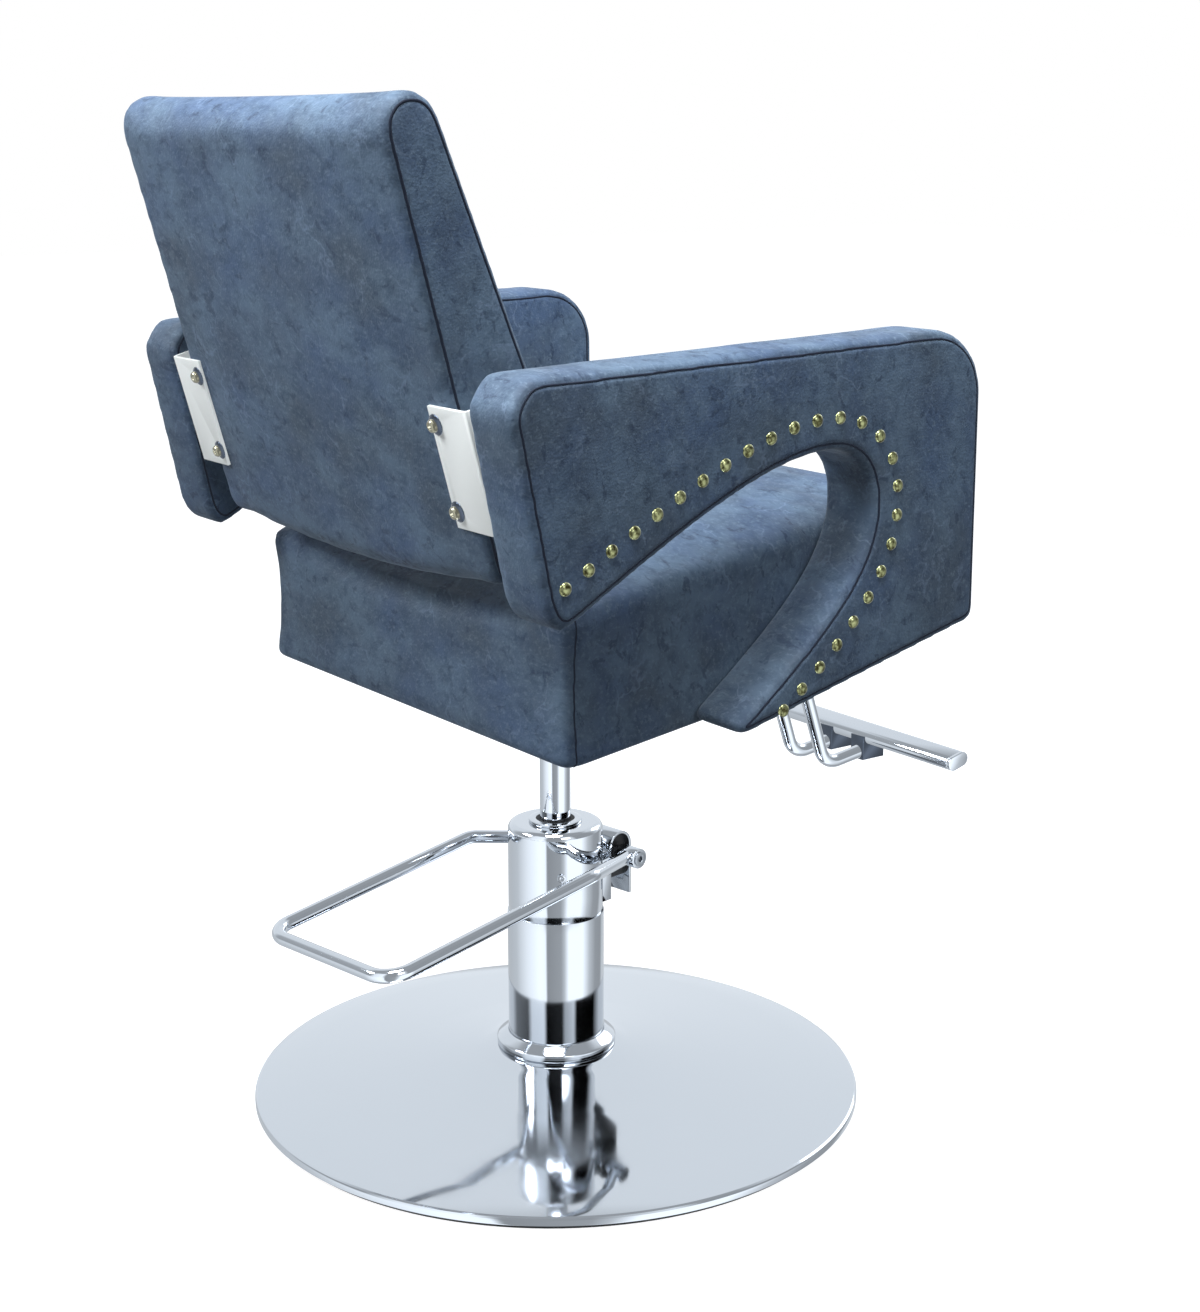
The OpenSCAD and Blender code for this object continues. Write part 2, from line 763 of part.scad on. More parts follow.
module pedal_sleeves() {
    color(chrome) on_pedal() translate([0, -pivot_y, pivot_z]) both_sides() difference() {
        bar_x(clamp_r, clamp_in, clamp_out);
        bar_x(pivot_r, clamp_in - over, clamp_out - clamp_end_t);
        bar_x(bolt_r, clamp_in, clamp_out + over);
    }
}

module pedal_screws() {
    color(dark_steel) on_pedal() translate([0, -pivot_y, pivot_z]) both_sides() difference() {
        union() {
            bar_x(socket_r, clamp_out, clamp_out + screw_proud);
            bar_x(bolt_r, clamp_out - clamp_end_t - screw_l + over, clamp_out + screw_proud / 2);
        }
        translate([clamp_out + screw_proud - socket_depth, 0, 0]) rotate([0, 90, 0])
            cylinder(r = socket_af, h = socket_depth + over, $fn = 6);
    }
}

// Ram

module ram() {
    spigot_top = seat_z - plate_t - spigot_depth * (1 + tan(seat_pitch));
    color(chrome) {
        translate([0, 0, head_top]) cylinder(r = ram_r, h = shoulder_z - head_top);
        translate([0, 0, shoulder_z]) cylinder(r = spigot_r, h = spigot_top - shoulder_z);
    }
}

module ram_piston() {
    color(plain_steel) translate([0, 0, head_top - head_h]) cylinder(r = head_r, h = head_h);
}

module hub_washer() {
    color(bronze) tube(hub_r, spigot_r, shoulder_z, shoulder_z + washer_t);
}

// Seat frame

module seat_hub() {
    color(dark_steel) difference() {
        tube(hub_r, spigot_r + run_gap, hub_bottom, seat_z + plate_t);
        on_seat() translate([-hub_r - over, -hub_r - over, -plate_t])
            cube([2 * (hub_r + over), 2 * (hub_r + over), 4 * plate_t]);
    }
}

// Flat plate with round corners between two heights of the seat's frame
module seat_slab(half, front, back, r, z0, z1) {
    translate([0, 0, z0]) linear_extrude(z1 - z0)
        polygon(rounded(half, -front, back, r, arc_steps, 1));
}

module plate_bolt_places() {
    for (x = [-1, 1]) for (y = [-1, 1])
        translate([x * plate_bolt_at, y * plate_bolt_at, 0]) children();
}

module seat_plate() {
    color(dark_steel) on_seat() difference() {
        seat_slab(plate_half, plate_front, plate_half, plate_corner, -plate_t, 0);
        plate_bolt_places() translate([0, 0, -plate_t - over])
            cylinder(r = bolt_r + bolt_play, h = plate_t + 2 * over);
    }
}

module plate_bolts() {
    color(plain_steel) on_seat() plate_bolt_places() translate([0, 0, -plate_t])
        hex_bolt(bolt_r, plate_t + board_t - over, bolt_head_r, bolt_head_h);
}

module seat_board() {
    color(plywood) on_seat() difference() {
        translate([-frame_half, -frame_front, 0]) cube([2 * frame_half, frame_front + frame_back, board_t]);
        plate_bolt_places() translate([0, 0, -over])
            cylinder(r = bolt_r + bolt_play, h = board_t + 2 * over);
    }
}

module arm_bolt_places() {
    for (s = arm_bolt_shares) translate([0, s * arm_l - arm_front_y, arm_bolt_z]) children();
}

module seat_side_rails() {
    color(plywood) on_seat() both_sides() difference() {
        translate([frame_half - rail_t, -frame_front, board_t])
            cube([rail_t, frame_front + frame_back, rail_h]);
        arm_bolt_places() bar_x(bolt_r + bolt_play, frame_half - rail_t - over, frame_half + over);
    }
}

module seat_end_rails() {
    inner = frame_half - rail_t;
    color(plywood) on_seat() for (y = [-frame_front, frame_back - rail_t])
        translate([-inner, y, board_t]) cube([2 * inner, rail_t, rail_h]);
}

// Thickness of the seat at its edge, by the share s of its depth from the rear
function seat_edge_h(s) = s < swell_share
    ? seat_rear_h + seat_swell * (1 - pow((s - swell_share) / swell_share, 2))
    : seat_rear_h + seat_swell * (1 - pow((s - swell_share) / (1 - swell_share), 2));
function seat_ring(edge, level, lift) = [
    for (q = rounded(
        seat_half - edge, -seat_front_y + edge, seat_back_y - edge, seat_corner + edge / 3, 4, 8
    ))
        let (s = min(1, max(0, (seat_back_y - q[1]) / seat_l)), h = seat_edge_h(s) * level + lift)
        [q[0], q[1] - (1 - s) * h * tan(seat_pitch), h]
];
// Rings of the cushion: how far in from the edge, and the share of the edge's height
side_shares = [[1, 0], [0, 0.04], [0.9, 0.3], [1, 0.5], [0.9, 0.72], [0, 0.93], [0.6, 0.975]];
dome_shares = [0, 0.06, 0.16, 0.32, 0.55, 0.8];

module seat_cushion() {
    sides = [for (r = side_shares) seat_ring(seat_pinch * r[0], r[1], 0)];
    dome = [
        for (d = dome_shares)
            seat_ring(seat_edge + seat_dome_l * d, 1, seat_crown * sin(90 * min(1, d / dome_shares[5])))
    ];
    mid_y = (seat_back_y - seat_front_y) / 2;
    peak_h = seat_edge_h(1 / 2) + seat_crown;
    color(leatherette) on_seat() difference() {
        ring_skin(
            concat(sides, dome), root = [0, mid_y, 0],
            peak = [0, mid_y - peak_h * tan(seat_pitch) / 2, peak_h]
        );
        translate([-frame_half - pocket_gap, -frame_front - pocket_gap, -over])
            cube([
                2 * (frame_half + pocket_gap), frame_front + frame_back + 2 * pocket_gap,
                frame_h + pocket_gap + over
            ]);
        both_sides() arm_bolt_places() bar_x(bolt_r + bolt_play, frame_half - over, arm_in + over);
    }
}

// Arms

function arm_at(s) = [s[0] * arm_l - arm_front_y, s[1] * arm_h + arm_foot_z];
function arm_all(list) = [for (s = list) arm_at(s)];
arm_rear_tip = arm_at(arm_rear_tip_shares);
arm_rear_low = arm_at(arm_rear_low_shares);
arm_rear_up = arm_at(arm_rear_up_shares);
arm_rear_top = arm_at(arm_rear_top_shares);
arm_front_top = arm_at(arm_front_top_shares);
arm_front_low = arm_at(arm_front_low_shares);
arm_foot = arm_at(arm_foot_shares);
rise = bezier(arm_all(arm_rise_shares), curve_steps);
turn = bezier(arm_all(arm_turn_shares), arc_steps);
fall = bezier(arm_all(arm_fall_shares), curve_steps);
function tail(p) = [for (k = [1:len(p) - 1]) p[k]];
// The edge of the opening, from the foot round to the rear tip
opening_edge = concat(rise, tail(turn), tail(fall));
edge_end = opening_edge[len(opening_edge) - 1];
// The arm's outline, anticlockwise with Y to the right
arm_outline = concat(
    fillet(edge_end, arm_rear_tip, arm_rear_low, arm_tip_r_share * arm_l, arc_steps),
    fillet(arm_rear_tip, arm_rear_low, arm_rear_up, arm_heel_r_share * arm_l, 3),
    fillet(arm_rear_low, arm_rear_up, arm_rear_top, arm_rear_r_share * arm_l, arc_steps),
    fillet(arm_rear_up, arm_rear_top, arm_front_top, arm_rear_r_share * arm_l, arc_steps),
    fillet(arm_rear_top, arm_front_top, arm_front_low, arm_front_r_share * arm_l, 2 * arc_steps),
    fillet(arm_front_top, arm_front_low, arm_foot, arm_toe_r_share * arm_l, arc_steps),
    fillet(arm_front_low, arm_foot, rise[1], arm_foot_r_share * arm_l, arc_steps),
    tail(opening_edge)
);

function arm_ring(x, d) = [for (q = inset(arm_outline, d)) [x, q[0], q[1]]];

module arm_pad() {
    inner = [for (e = edge_shares) [arm_in + e[0] * arm_t, e[1] * arm_edge]];
    outer = [for (e = flip(edge_shares)) [arm_out - e[0] * arm_t, e[1] * arm_edge]];
    rings = [for (r = concat(inner, outer)) arm_ring(r[0], r[1])];
    places = [for (k = [0:len(arm_outline) - 1]) k];
    difference() {
        ring_skin(rings, ears(inset(arm_outline, arm_edge), places));
        translate([arm_board_in - pocket_gap, 0, 0]) rotate([90, 0, 90])
            linear_extrude(arm_board_t + 2 * pocket_gap) arm_core(-pocket_gap);
        arm_side_holes(arm_in - over, arm_board_in + arm_board_t);
    }
}

// Outline of the core, grown by the clearance g
module arm_core(g) {
    polygon(inset(arm_all(arm_core_shares), g));
}

// Holes for the bolts from the seat and from the bracket, along X
module arm_side_holes(x0, x1) {
    on_seat() arm_bolt_places() bar_x(bolt_r + bolt_play, x0, x1);
    on_back() bracket_leg_places() bar_x(small_bolt_r + bolt_play, x0, x1);
}

module bracket_leg_places() {
    for (s = [-1, 1]) translate([0, leg_bolt_y, bracket_mid + s * bracket_pitch / 2]) children();
}

module arm_board() {
    difference() {
        translate([arm_board_in, 0, 0]) rotate([90, 0, 90]) linear_extrude(arm_board_t) arm_core(0);
        arm_side_holes(arm_board_in - over, arm_board_in + arm_board_t + over);
    }
}

// Nails at equal steps along a line beside the opening's edge, a little further from it at the rear
nail_line = [
    for (k = [0:len(opening_edge) - 2])
        opening_edge[k] - outward(opening_edge, k) * (nail_offset + nail_spread * k / len(opening_edge))
];
nail_run = run_length(nail_line, len(nail_line) - 1);
module nails() {
    cap_r2 = (nail_d * nail_d / 4 + nail_h * nail_h) / (2 * nail_h);
    for (i = [0:nail_count - 1]) {
        share = mix(nail_start_share, nail_end_share, i / (nail_count - 1));
        q = along(nail_line, nail_run * share, 0);
        translate([arm_out, q[0], q[1]]) rotate([0, 90, 0]) rotate_extrude($fn = 24) intersection() {
            translate([0, nail_h - cap_r2]) circle(cap_r2, $fn = 64);
            square([nail_d, nail_h]);
        }
    }
}

module arm_pad_right() { color(leatherette) mirror([1, 0, 0]) arm_pad(); }
module arm_pad_left() { color(leatherette) arm_pad(); }
module arm_board_right() { color(plywood) mirror([1, 0, 0]) arm_board(); }
module arm_board_left() { color(plywood) arm_board(); }
module arm_nails_right() { color(antique_brass) mirror([1, 0, 0]) nails(); }
module arm_nails_left() { color(antique_brass) nails(); }

module arm_bolts() {
    inner = frame_half - rail_t;
    color(plain_steel) both_sides() on_seat() arm_bolt_places() {
        bar_x(bolt_head_r, inner - bolt_head_h, inner);
        bar_x(bolt_r, inner, arm_board_in + arm_board_t);
    }
}

// Backrest

rear_low = [back_foot_y, back_foot_z];
front_low = [front_foot_y, back_foot_z];
rear_high = [back_foot_y + back_l * sin(back_lean), back_foot_z + back_l * cos(back_lean)];
front_high = [front_line_y, front_line_z];
// Side profile of the backrest, each point with the share of the crown that it takes
function crowned(points, y_crown, z_crown) = [
    for (k = [0:len(points) - 1]) let (w = sin(180 * k / (len(points) - 1)))
        [points[k][0], points[k][1], y_crown * w, z_crown]
];
function line(a, b, n) = [for (i = [0:n]) mix(a, b, i / n)];
foot_fillet_rear = fillet(front_low, rear_low, rear_high, back_foot_r, 3);
foot_fillet_front = fillet(front_high, front_low, rear_low, back_foot_r, 3);
top_arc = [
    for (i = [0:8]) let (a = mix(-back_lean, 180 - back_front_lean, i / 8))
        [back_top_y, back_top_z] + back_top_r * [cos(a), sin(a)]
];
back_profile = concat(
    [for (q = foot_fillet_rear) [q[0], q[1], 0, back_bow]],
    tail(crowned(line(foot_fillet_rear[3], rear_high, back_steps), back_rear_crown, 0)),
    [for (q = top_arc) if (q != top_arc[0]) [q[0], q[1], 0, 0]],
    tail(crowned(line(front_high, foot_fillet_front[0], back_steps + 2), back_crown, 0)),
    [for (q = foot_fillet_front) if (q != foot_fillet_front[0]) [q[0], q[1], 0, back_bow]],
    [for (q = line(foot_fillet_front[3], foot_fillet_rear[0], 4))
        if (q != foot_fillet_front[3] && q != foot_fillet_rear[0]) [q[0], q[1], 0, back_bow]]
);
back_flat_xy = [for (p = back_profile) [p[0], p[1]]];
// Crown across the width, nothing outside the flat borders where the brackets lie
function swell(x) = let (t = x / (back_half * back_flat_share)) max(0, 1 - t * t);
function back_ring(x, d) = [
    for (k = [0:len(back_profile) - 1])
        let (n = outward(back_flat_xy, k), g = back_profile[k][2] * swell(x) - d)
        [x, back_profile[k][0] + n[0] * g, back_profile[k][1] + n[1] * g - back_profile[k][3] * swell(x)]
];
back_edge_shares = [
    [1, 1], [0.988, 0.42], [0.97, 0.12], [0.94, 0], [0.85, 0], [0.65, 0], [0.4, 0], [0.13, 0]
];

module back_cushion() {
    pocket_half = back_board_half + pocket_gap;
    half = [for (e = back_edge_shares) [e[0] * back_half, e[1] * back_edge]];
    left = [for (h = half) [-h[0], h[1]]];
    color(leatherette) difference() {
        ring_skin([for (r = concat(left, flip(half))) back_ring(r[0], r[1])], fan(len(back_profile)));
        on_back() {
            translate([-pocket_half, -back_skin - rail_t - pocket_gap, back_board_low - pocket_gap])
                cube([
                    2 * pocket_half, rail_t + 2 * pocket_gap,
                    back_board_high - back_board_low + 2 * pocket_gap
                ]);
            back_bolt_places() translate([0, 0, -back_skin - pocket_gap])
                cylinder(r = small_bolt_r + bolt_play, h = back_skin + bracket_t);
        }
    }
}

module back_board() {
    color(plywood) on_back() difference() {
        translate([-back_board_half, -back_skin - rail_t, back_board_low])
            cube([2 * back_board_half, rail_t, back_board_high - back_board_low]);
        back_bolt_places() translate([0, 0, -back_skin - rail_t - over])
            cylinder(r = small_bolt_r + bolt_play, h = rail_t + 2 * over);
    }
}

// Places of the bolts through the brackets into the back, with Z out of the rear face
module back_bolt_places() {
    for (side = [-1, 1]) for (s = [-1, 1])
        translate([side * bracket_bolt_x, 0, bracket_mid + s * bracket_pitch / 2])
            rotate([-90, 0, 0]) children();
}

// Bent angle, drawn in X and Y of the backrest's frame and extruded up the slope
module back_bracket() {
    bend_x = arm_in - bracket_bend;
    bend_y = bracket_t - bracket_bend;
    on_back() difference() {
        translate([0, 0, bracket_mid - bracket_h / 2]) linear_extrude(bracket_h) difference() {
            union() {
                translate([bracket_in, 0]) square([bend_x - bracket_in, bracket_t]);
                translate([arm_in - bracket_t, -bracket_leg]) square([bracket_t, bracket_leg + bend_y]);
                translate([bend_x, bend_y]) circle(bracket_bend);
            }
            translate([bend_x, bend_y]) circle(bracket_bend - bracket_t);
            translate([bracket_in, -bracket_leg - over]) square([bend_x - bracket_in, bracket_leg + over]);
            translate([bend_x - over, -bracket_leg - over])
                square([bracket_bend - bracket_t + over, bracket_leg + over + bend_y]);
        }
        back_bolt_places() translate([0, 0, -over])
            cylinder(r = small_bolt_r + bolt_play, h = bracket_t + 2 * over);
        bracket_leg_places() bar_x(small_bolt_r + bolt_play, arm_in - bracket_t - over, arm_in + over);
    }
}

module back_bracket_right() { color(pale_plate) mirror([1, 0, 0]) back_bracket(); }
module back_bracket_left() { color(pale_plate) back_bracket(); }

module back_washers() {
    color(chrome) on_back() back_bolt_places() translate([0, 0, bracket_t]) difference() {
        rotate_extrude() polygon([
            [0, 0], [dish_washer_r, 0], [dish_washer_r, dish_washer_h / 3],
            [dish_washer_r * 2 / 3, dish_washer_h], [0, dish_washer_h]
        ]);
        translate([0, 0, -over]) cylinder(r = small_bolt_r + bolt_play, h = dish_washer_h + 2 * over);
    }
}

module back_bolts() {
    shank = bracket_t + dish_washer_h + back_skin + rail_t;
    color(chrome) on_back() back_bolt_places() translate([0, 0, bracket_t + dish_washer_h])
        socket_bolt(small_bolt_r, shank, small_head_r, small_head_h);
}

module bracket_bolts() {
    inner = arm_in - bracket_t;
    color(plain_steel) both_sides() on_back() bracket_leg_places() {
        bar_x(small_head_r, inner - small_head_h, inner);
        bar_x(small_bolt_r, inner, arm_board_in + arm_board_t);
    }
}

// Footrest

foot_back_y = plate_front - foot_block_l;
foot_path = [
    seat_point(foot_tube_x, -foot_back_y, -foot_drop),
    seat_point(foot_tube_x, -foot_run_y, -foot_drop),
    [foot_tube_x, -foot_low_y, foot_low_z],
    [foot_tube_x, -foot_end_y, foot_end_z]
];

module footrest_tube() {
    bent_rod(foot_path, [foot_bend_up_r, foot_bend_low_r], foot_tube_r);
}

module footrest_tube_right() { color(chrome) mirror([1, 0, 0]) footrest_tube(); }
module footrest_tube_left() { color(chrome) footrest_tube(); }

module footrest_socket() {
    color(dark_steel) on_seat() difference() {
        translate([-foot_block_half, -plate_front, -plate_t - foot_block_t])
            cube([2 * foot_block_half, foot_block_l, foot_block_t]);
        both_sides() translate([foot_tube_x, -plate_front - over, -foot_drop]) rotate([-90, 0, 0])
            cylinder(r = foot_tube_r + foot_slip, h = foot_block_l + 2 * over);
        foot_screw_places() translate([0, 0, -foot_block_t])
            cylinder(r = bolt_r, h = foot_block_t / 2);
    }
}

module foot_screw_places() {
    both_sides() translate([foot_tube_x, -plate_front + foot_block_l / 2, -plate_t]) children();
}

module footrest_screws() {
    reach = foot_block_t / 2 - foot_tube_r - foot_slip;
    color(plain_steel) on_seat() foot_screw_places() translate([0, 0, -foot_block_t])
        hex_bolt(bolt_r, reach, bolt_head_r, bolt_head_h);
}

// Flat oval in the bar's own section, the width along X
module oval(w, t) {
    translate([(t - w) / 2, 0]) circle(t / 2);
    translate([(w - t) / 2, 0]) circle(t / 2);
    translate([(t - w) / 2, -t / 2]) square([w - t, t]);
}

module on_foot_bar() {
    translate([0, -foot_bar_y, foot_bar_z]) rotate([-foot_bar_tilt, 0, 0]) rotate([90, 0, 90]) children();
}

module footrest_bar() {
    half = foot_bar_l / 2 - foot_cap_t;
    color(chrome) on_foot_bar() translate([0, 0, -half]) difference() {
        linear_extrude(2 * half) oval(foot_bar_w, foot_bar_t);
        translate([0, 0, -over]) linear_extrude(2 * half + 2 * over)
            oval(foot_bar_w - 2 * foot_bar_wall, foot_bar_t - 2 * foot_bar_wall);
    }
}

module footrest_end_caps() {
    half = foot_bar_l / 2 - foot_cap_t;
    color(chrome) on_foot_bar() both_ends() {
        translate([0, 0, half]) linear_extrude(foot_cap_t) oval(foot_bar_w, foot_bar_t);
        translate([0, 0, half - foot_cap_t]) linear_extrude(foot_cap_t)
            oval(foot_bar_w - 2 * foot_bar_wall, foot_bar_t - 2 * foot_bar_wall);
    }
}

module both_ends() {
    children();
    mirror([0, 0, 1]) children();
}

// Saddles that wrap the tubes' ends and take the bar on top
module footrest_saddles() {
    color(dark_steel) both_sides() difference() {
        translate([foot_tube_x - saddle_w / 2, -foot_end_y - saddle_t, foot_end_z - foot_tube_r - saddle_t])
            cube([saddle_w, saddle_l + saddle_t, 2 * foot_tube_r + foot_bar_t]);
        bent_rod(foot_path, [foot_bend_up_r, foot_bend_low_r], foot_tube_r + foot_slip);
        on_foot_bar() translate([0, 0, -foot_bar_l / 2])
            linear_extrude(foot_bar_l) oval(foot_bar_w, foot_bar_t);
        translate([0, -foot_end_y - over - saddle_l, foot_bar_z])
            cube([2 * foot_tube_gap, 3 * saddle_l, foot_bar_t]);
    }
}

base_pad();
base_ballast();
base_disc();
base_collar();
pump_foot();
foot_bolts();
pump_tube();
pump_cap();
cap_screw();
pump_cylinder();
ram_bush();
ram_seal();
pedal_shroud();
pivot_block();
plunger_sleeve();
plunger_spring();
pump_plunger();
pedal_shaft();
pedal_lever();
pedal_bar();
pedal_sleeves();
pedal_screws();
ram();
ram_piston();
hub_washer();
seat_hub();
seat_plate();
plate_bolts();
seat_board();
seat_side_rails();
seat_end_rails();
seat_cushion();
arm_pad_right();
arm_pad_left();
arm_board_right();
arm_board_left();
arm_bolts();
arm_nails_right();
arm_nails_left();
back_cushion();
back_board();
back_bracket_right();
back_bracket_left();
back_bolts();
back_washers();
bracket_bolts();
footrest_socket();
footrest_screws();
footrest_tube_right();
footrest_tube_left();
footrest_saddles();
footrest_bar();
footrest_end_caps();
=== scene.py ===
# %% [markdown]
# # A hydraulic salon chair
#
# The construction model gives every piece of this chair its place and its size. This script
# dresses it. Plain cushion blocks become stuffed ones with sewn seams, the opening of each arm
# gets its row of nails, and every piece gets the finish that it has in the photograph.
# Everything is in metres, Z is up, and the sitter faces -Y.

# %% Load the construction model
import json
import math

import bmesh
import bpy
import numpy as np
from mathutils import Matrix, Vector
from mathutils.bvhtree import BVHTree
from mathutils.kdtree import KDTree


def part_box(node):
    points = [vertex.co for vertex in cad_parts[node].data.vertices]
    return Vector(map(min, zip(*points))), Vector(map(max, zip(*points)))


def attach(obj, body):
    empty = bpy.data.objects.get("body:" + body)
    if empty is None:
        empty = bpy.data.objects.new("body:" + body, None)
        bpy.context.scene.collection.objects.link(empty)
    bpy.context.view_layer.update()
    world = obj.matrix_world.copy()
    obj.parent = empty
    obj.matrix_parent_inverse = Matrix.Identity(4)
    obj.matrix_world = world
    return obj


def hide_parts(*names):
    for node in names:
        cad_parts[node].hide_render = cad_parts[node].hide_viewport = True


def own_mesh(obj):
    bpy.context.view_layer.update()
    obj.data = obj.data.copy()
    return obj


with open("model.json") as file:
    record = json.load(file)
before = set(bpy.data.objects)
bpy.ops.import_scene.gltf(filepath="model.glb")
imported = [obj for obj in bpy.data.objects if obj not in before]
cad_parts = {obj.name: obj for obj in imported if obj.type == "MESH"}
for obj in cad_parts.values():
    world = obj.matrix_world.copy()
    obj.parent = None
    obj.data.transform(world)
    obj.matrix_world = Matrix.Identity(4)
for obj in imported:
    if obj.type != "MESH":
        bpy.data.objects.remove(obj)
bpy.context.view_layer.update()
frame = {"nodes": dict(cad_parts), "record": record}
scene = bpy.context.scene
mm = 0.001
print("pieces in the construction model:", len(frame["nodes"]))

# %% [markdown]
# ## The view
# The photograph was taken from behind the chair, on the sitter's right, a little above the seat.
# A camera could be placed by eye, but this place, turn and lens were worked out from corners
# whose real distances are known, so the chair fills the picture as it does in the photograph.

# %% Camera
camera_data = bpy.data.cameras.new("camera")
camera_data.lens = 59.84
camera_data.sensor_width = 36
camera = bpy.data.objects.new("camera", camera_data)
camera.location = (-1.671, 1.160, 0.942)
camera.rotation_euler = (math.radians(76.3), 0, math.radians(234))
scene.collection.objects.link(camera)
scene.camera = camera
print("camera is", round(camera.location.length, 2), "m from the pump's foot")

# %% [markdown]
# ## Nodes and colours
# Blender's materials and Geometry Nodes are both trees of nodes. One small function adds a node,
# sets what it is told and links what it is given, so each recipe below reads as a list of steps.
# Colours are written as the hex values of a screen. Blender counts light itself, so a second
# function turns them into amounts of light.

# %% Helpers for node trees and colours
def add(tree, kind, inputs=None, stops=(), **settings):
    """Adds a node. A value in inputs is set, and a socket in inputs is linked. A colour ramp's
    stops are a list of (place, colour)."""
    node = tree.nodes.new(kind)
    for name, value in settings.items():
        setattr(node, name, value)
    for name, value in (inputs or {}).items():
        if isinstance(value, bpy.types.NodeSocket):
            tree.links.new(value, node.inputs[name])
        else:
            node.inputs[name].default_value = value
    for _ in stops[2:]:
        node.color_ramp.elements.new(0.5)
    for k, (place, colour) in enumerate(stops):
        node.color_ramp.elements[k].position = place
        node.color_ramp.elements[k].color = colour
    return node


def light(hex_colour):
    """The amounts of red, green and blue light of a screen colour such as #808080."""
    parts = [int(hex_colour[k:k + 2], 16) / 255 for k in (1, 3, 5)]
    return [p / 12.92 if p <= 0.04045 else ((p + 0.055) / 1.055) ** 2.4 for p in parts] + [1]


def grey(value):
    return (value, value, value, 1)


def layer(tree, under, over, pattern, start, full, share=1.0):
    """Lays one colour over another where a pattern rises from start to full."""
    amount = add(tree, "ShaderNodeMapRange", {0: pattern, 1: start, 2: full, 4: share}).outputs[0]
    return add(tree, "ShaderNodeMix", {0: amount, 6: under, 7: over}, data_type="RGBA").outputs[2]


# %% [markdown]
# ## The studio
# The chair was cut out on white, so there is no room to copy. One soft panel stands above it. Two
# narrow ones light the upper back and the near arm and leave the seat in shade, and a weak one
# fills the front. The white floor glows a little to stay white, and lights nothing itself.
#
# Chrome has no colour of its own and shows what stands round it. A photographed room could be
# wrapped round the chair, but here the room is drawn, as a photographer builds it: pale boards
# with gaps between them. An upright tube shows the boards below the horizon, and the dish shows
# those above it. The tube's foot shows the dish once more, in a second reflection, and only there
# are the gaps black, as in the photograph. So the dish stays silver from every side.

# %% Floor
reach = 14   # metres from the chair to the floor's edge
floor_mesh = bpy.data.meshes.new("floor")
floor_corners = [(-reach, -reach, 0), (reach, -reach, 0), (reach, reach, 0), (-reach, reach, 0)]
floor_mesh.from_pydata(floor_corners, [], [(0, 1, 2, 3)])
floor = bpy.data.objects.new("floor", floor_mesh)
scene.collection.objects.link(floor)
floor_paper = bpy.data.materials.new("white_paper")
floor_paper.use_nodes = True
paper = floor_paper.node_tree.nodes["Principled BSDF"]
paper.inputs["Base Color"].default_value = light("#a0a3a6")
paper.inputs["Roughness"].default_value = 0.9
paper.inputs["Specular IOR Level"].default_value = 0
paper.inputs["Emission Color"].default_value = light("#ffffff")
paper.inputs["Emission Strength"].default_value = 0.96
floor_mesh.materials.append(floor_paper)
floor.visible_diffuse = False
floor.visible_glossy = False
print("floor:", 2 * reach, "m square")

# %% Boards round the chair
world = bpy.data.worlds.new("studio")
world.use_nodes = True
scene.world = world
sky = world.node_tree
sky.nodes.clear()
rays = add(sky, "ShaderNodeLightPath").outputs
direction = add(sky, "ShaderNodeTexCoord").outputs["Generated"]
height = add(sky, "ShaderNodeSeparateXYZ", {0: direction}).outputs["Z"]
towards_photo = math.atan2(camera.location.y, camera.location.x)
turned = add(sky, "ShaderNodeMapping", {"Vector": direction, "Rotation": (0, 0, -towards_photo)})
angle = add(sky, "ShaderNodeTexGradient", {0: turned.outputs[0]}, gradient_type="RADIAL").outputs["Fac"]


def boards(*stops):
    """Boards round the chair: (degrees from the photograph's side, brightness) for each."""
    stops = [((degrees + 180) / 360, grey(bright)) for degrees, bright in stops]
    return add(sky, "ShaderNodeValToRGB", {0: angle}, stops=stops).outputs[0]


below = boards((-180, 0.34), (-140, 0.42), (-105, 0.5), (-70, 0.8), (-38, 1.0), (-24, 0.95),
               (-20, 0.26), (12, 0.32), (20, 0.5), (30, 1.0), (65, 1.0), (85, 0.5),
               (105, 0.3), (128, 0.27), (140, 0.5), (180, 0.34))
above_once = boards((-180, 0.63), (-128, 0.63), (-110, 0.35), (-72, 0.28), (-58, 0.8), (-30, 0.95),
                    (-20, 0.28), (12, 0.28), (24, 0.5), (42, 0.7), (52, 0.28), (100, 0.28),
                    (125, 0.63), (180, 0.63))
above_twice = boards((-180, 0.63), (-128, 0.63), (-110, 0.2), (-72, 0.1), (-60, 0.9), (-30, 1.0),
                     (-22, 0.0), (14, 0.02), (22, 0.5), (42, 0.75), (50, 0.0), (100, 0.0),
                     (125, 0.63), (180, 0.63))
print("boards stand round from", round(math.degrees(towards_photo)), "degrees")

# %% The room that chrome mirrors, and the soft sky that lights the rest
above = layer(sky, above_once, above_twice, rays["Glossy Depth"], 1.2, 1.8)
around = layer(sky, below, above, height, -0.02, 0.04)
room = layer(sky, around, grey(0.3), height, 0.74, 0.84)
room_colour = light("#eff5fb")
cool = add(sky, "ShaderNodeMix", {0: 1.0, 6: room, 7: room_colour},
           data_type="RGBA", blend_type="MULTIPLY")
soft = add(sky, "ShaderNodeValToRGB", {0: height}, stops=[
    (0.0, grey(0.03)), (0.25, grey(0.07)), (0.6, grey(0.22)), (1.0, grey(0.5))])
lit = add(sky, "ShaderNodeBackground", {"Color": soft.outputs[0], "Strength": 1.0})
mirrored_room = add(sky, "ShaderNodeBackground", {"Color": cool.outputs[2], "Strength": 1.92})
backdrop = add(sky, "ShaderNodeBackground", {"Color": light("#ffffff"), "Strength": 1.0})
